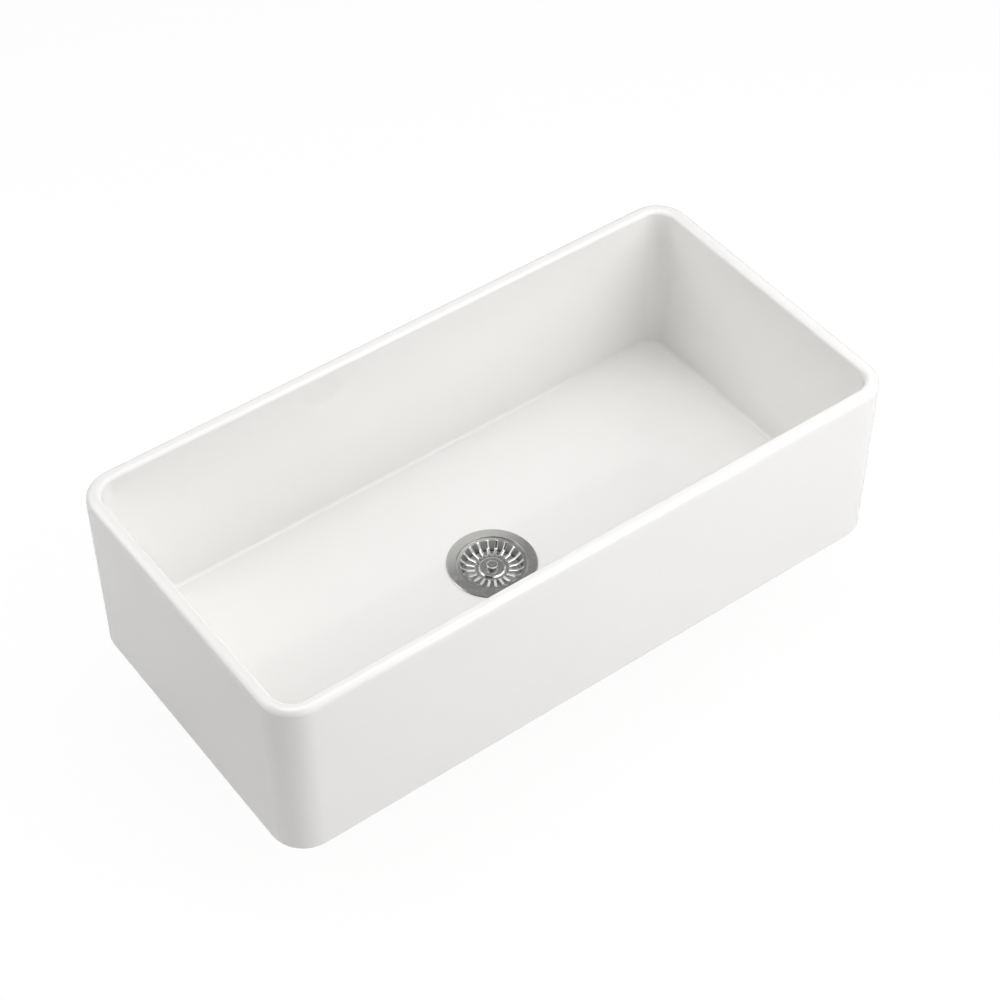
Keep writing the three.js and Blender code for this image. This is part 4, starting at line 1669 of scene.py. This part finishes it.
# ---------------------------------------------------------------- studio
@dataclass(frozen=True)
class Softbox:
    """A square lamp with a diffuser, hung somewhere round the sink and turned towards it.

    Attributes:
        name: Its name.
        azimuth: Where it hangs, in degrees anticlockwise from +X.
        elevation: Its angle above the sink, in degrees.
        side: Length of its sides in metres.
        power: Its power in watts.
        distance: How far it hangs from the sink, in metres.
    """

    name: str
    azimuth: float
    elevation: float
    side: float
    power: float
    distance: float = 2.6

    def hang(self, aim: Vector) -> None:
        """Hangs the lamp.

        Args:
            aim: The point that it is turned towards, and that its place is counted from.
        """
        light = bpy.data.lights.new(self.name, "AREA")
        light.size, light.energy = self.side, self.power
        lamp = bpy.data.objects.new(self.name, light)
        turn, rise = math.radians(self.azimuth), math.radians(self.elevation)
        outward = Vector((math.cos(rise) * math.cos(turn), math.cos(rise) * math.sin(turn),
                          math.sin(rise)))
        lamp.location = aim + self.distance * outward
        lamp.rotation_euler = outward.to_track_quat("Z", "Y").to_euler()
        bpy.context.scene.collection.objects.link(lamp)


@dataclass
class Studio:
    """Pale floor, soft lamps, white surroundings and the camera.

    Attributes:
        lens: Focal length in millimetres.
        sensor: Width of the camera's sensor in millimetres.
        azimuth: The camera's angle round the sink. 0 looks along +Y.
        elevation: The camera's angle above the horizon.
        stand: Where the camera stands, in metres.
        ambient: Level of the light from all round.
        ahead: The level direction in which the room gets brighter.
        room: How bright the room above the horizon looks in a reflection, behind and ahead.
        fade: Shares of a direction that point ahead, between which the room gets brighter.
        horizon: Heights between which the pale horizon gives way to the room.
        floor_reach: How far the floor runs each way, in metres.
        glow: Strength of the plain white in the floor.
        white_share: Share of plain white in the floor as the camera sees it.
        aim: The point that the lamps are turned towards, in metres.
        lamps: The softboxes.
    """

    lens: float = 87.38
    sensor: float = 36.0
    azimuth: float = math.radians(-36.606)
    elevation: float = math.radians(46.622)
    stand: tuple[float, float, float] = (-1.241378, -1.688264, 2.352145)
    ambient: float = 0.01
    ahead: tuple[float, float, float] = (0.6, 0.8, 0.0)
    room: tuple[float, float] = (0.03, 0.2)
    fade: tuple[float, float] = (-0.6, 0.5)
    horizon: tuple[float, float] = (0.3, 0.66)
    floor_reach: float = 9.0
    glow: float = 1.02
    white_share: float = 0.92
    aim: tuple[float, float, float] = (0.0, 0.0, 0.1)
    lamps: tuple[Softbox, ...] = (
        # name, azimuth, elevation, side, power and distance
        Softbox("overhead", 53, 85, 1.6, 20.5, 2.3),
        Softbox("key", 315, 38, 2.4, 33.5),
        Softbox("front", 280, 38, 2.2, 20.5),
        Softbox("left", 145, 30, 1.6, 13.5),
        Softbox("back_left", 120, 48, 1.6, 12.5),
        Softbox("right", 18, 33, 1.6, 5.0),
        Softbox("left_low", 180, 12, 1.6, 5.5),
        Softbox("front_low", 270, 12, 1.6, 4.0),
    )

    def build_camera(self) -> None:
        """Sets the camera where the photograph was taken from."""
        lens = bpy.data.cameras.new("camera")
        lens.lens, lens.sensor_width = self.lens, self.sensor
        camera = bpy.data.objects.new("camera", lens)
        back = Vector((
            math.sin(self.azimuth) * math.cos(self.elevation),
            -math.cos(self.azimuth) * math.cos(self.elevation),
            math.sin(self.elevation),
        ))
        camera.location = self.stand
        camera.rotation_mode = "QUATERNION"
        camera.rotation_quaternion = (-back).to_track_quat("-Z", "Y")
        bpy.context.scene.collection.objects.link(camera)
        bpy.context.scene.camera = camera

    def build_world(self) -> None:
        """White to the camera, and in reflections a pale horizon under a darker room."""
        world = bpy.data.worlds.new("studio")
        world.use_nodes = True
        bpy.context.scene.world = world
        graph = Graph(world.node_tree)
        path = graph.node("ShaderNodeLightPath").outputs
        forward = graph.node("ShaderNodeVectorMath", {0: graph.way, 1: self.ahead},
                             operation="DOT_PRODUCT").outputs["Value"]
        room = graph.spread(forward, self.fade, self.room)
        height = graph.node("ShaderNodeSeparateXYZ", {0: graph.way}).outputs[2]
        pale = graph.spread(height, self.horizon, (1.0, 0.0))
        above = graph.maths("MULTIPLY", room, graph.maths("SUBTRACT", 1.0, pale))
        mirrored = graph.maths("ADD", pale, above)
        seen = graph.maths("ADD", path["Is Camera Ray"], self.ambient)
        level = graph.maths("ADD", graph.maths("MULTIPLY", mirrored, path["Is Glossy Ray"]), seen)
        white = (1.0, 1.0, 1.0, 1.0)
        graph.set(world.node_tree.nodes["Background"], {0: white, 1: level})

    def build_floor(self) -> None:
        """Lays the floor at the lower end of the outlet tube."""
        level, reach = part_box("tailpiece")[0].z, self.floor_reach
        mesh = bpy.data.meshes.new("floor")
        corners = [(-reach, -reach), (reach, -reach), (reach, reach), (-reach, reach)]
        mesh.from_pydata([(x, y, level) for x, y in corners], [], [(0, 1, 2, 3)])
        floor = bpy.data.objects.new("floor", mesh)
        bpy.context.scene.collection.objects.link(floor)
        paint, graph = Graph.of_new("floor_paint")
        mottle = graph.cloud(60, 2)
        graph.dress(
            Base_Color=graph.tint(mottle, (0.93, 0.93, 0.93), (0.95, 0.95, 0.95)), Roughness=0.9
        )
        white = graph.node("ShaderNodeEmission", {"Strength": self.glow})
        looked_at = graph.node("ShaderNodeLightPath").outputs["Is Camera Ray"]
        share = graph.maths("MULTIPLY", looked_at, self.white_share)
        mixed = graph.node(
            "ShaderNodeMixShader", {0: share, 1: graph.shader.outputs[0], 2: white.outputs[0]}
        )
        graph.set(graph.tree.nodes["Material Output"], {0: mixed.outputs[0]})
        mesh.materials.append(paint)

    def build(self) -> None:
        """Sets up the studio."""
        bpy.context.scene.view_settings.view_transform = "Standard"
        self.build_camera()
        self.build_world()
        self.build_floor()
        for lamp in self.lamps:
            lamp.hang(Vector(self.aim))


def main() -> None:
    """Builds the whole scene."""
    logging.basicConfig(level=logging.INFO, format="%(message)s")
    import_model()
    for group in (Studio, Basin, StrainerBody, ClampingSet, OutletTube, Basket, Stopper):
        log.info("building %s", group.__name__)
        group().build()


if __name__ == "__main__":
    main()
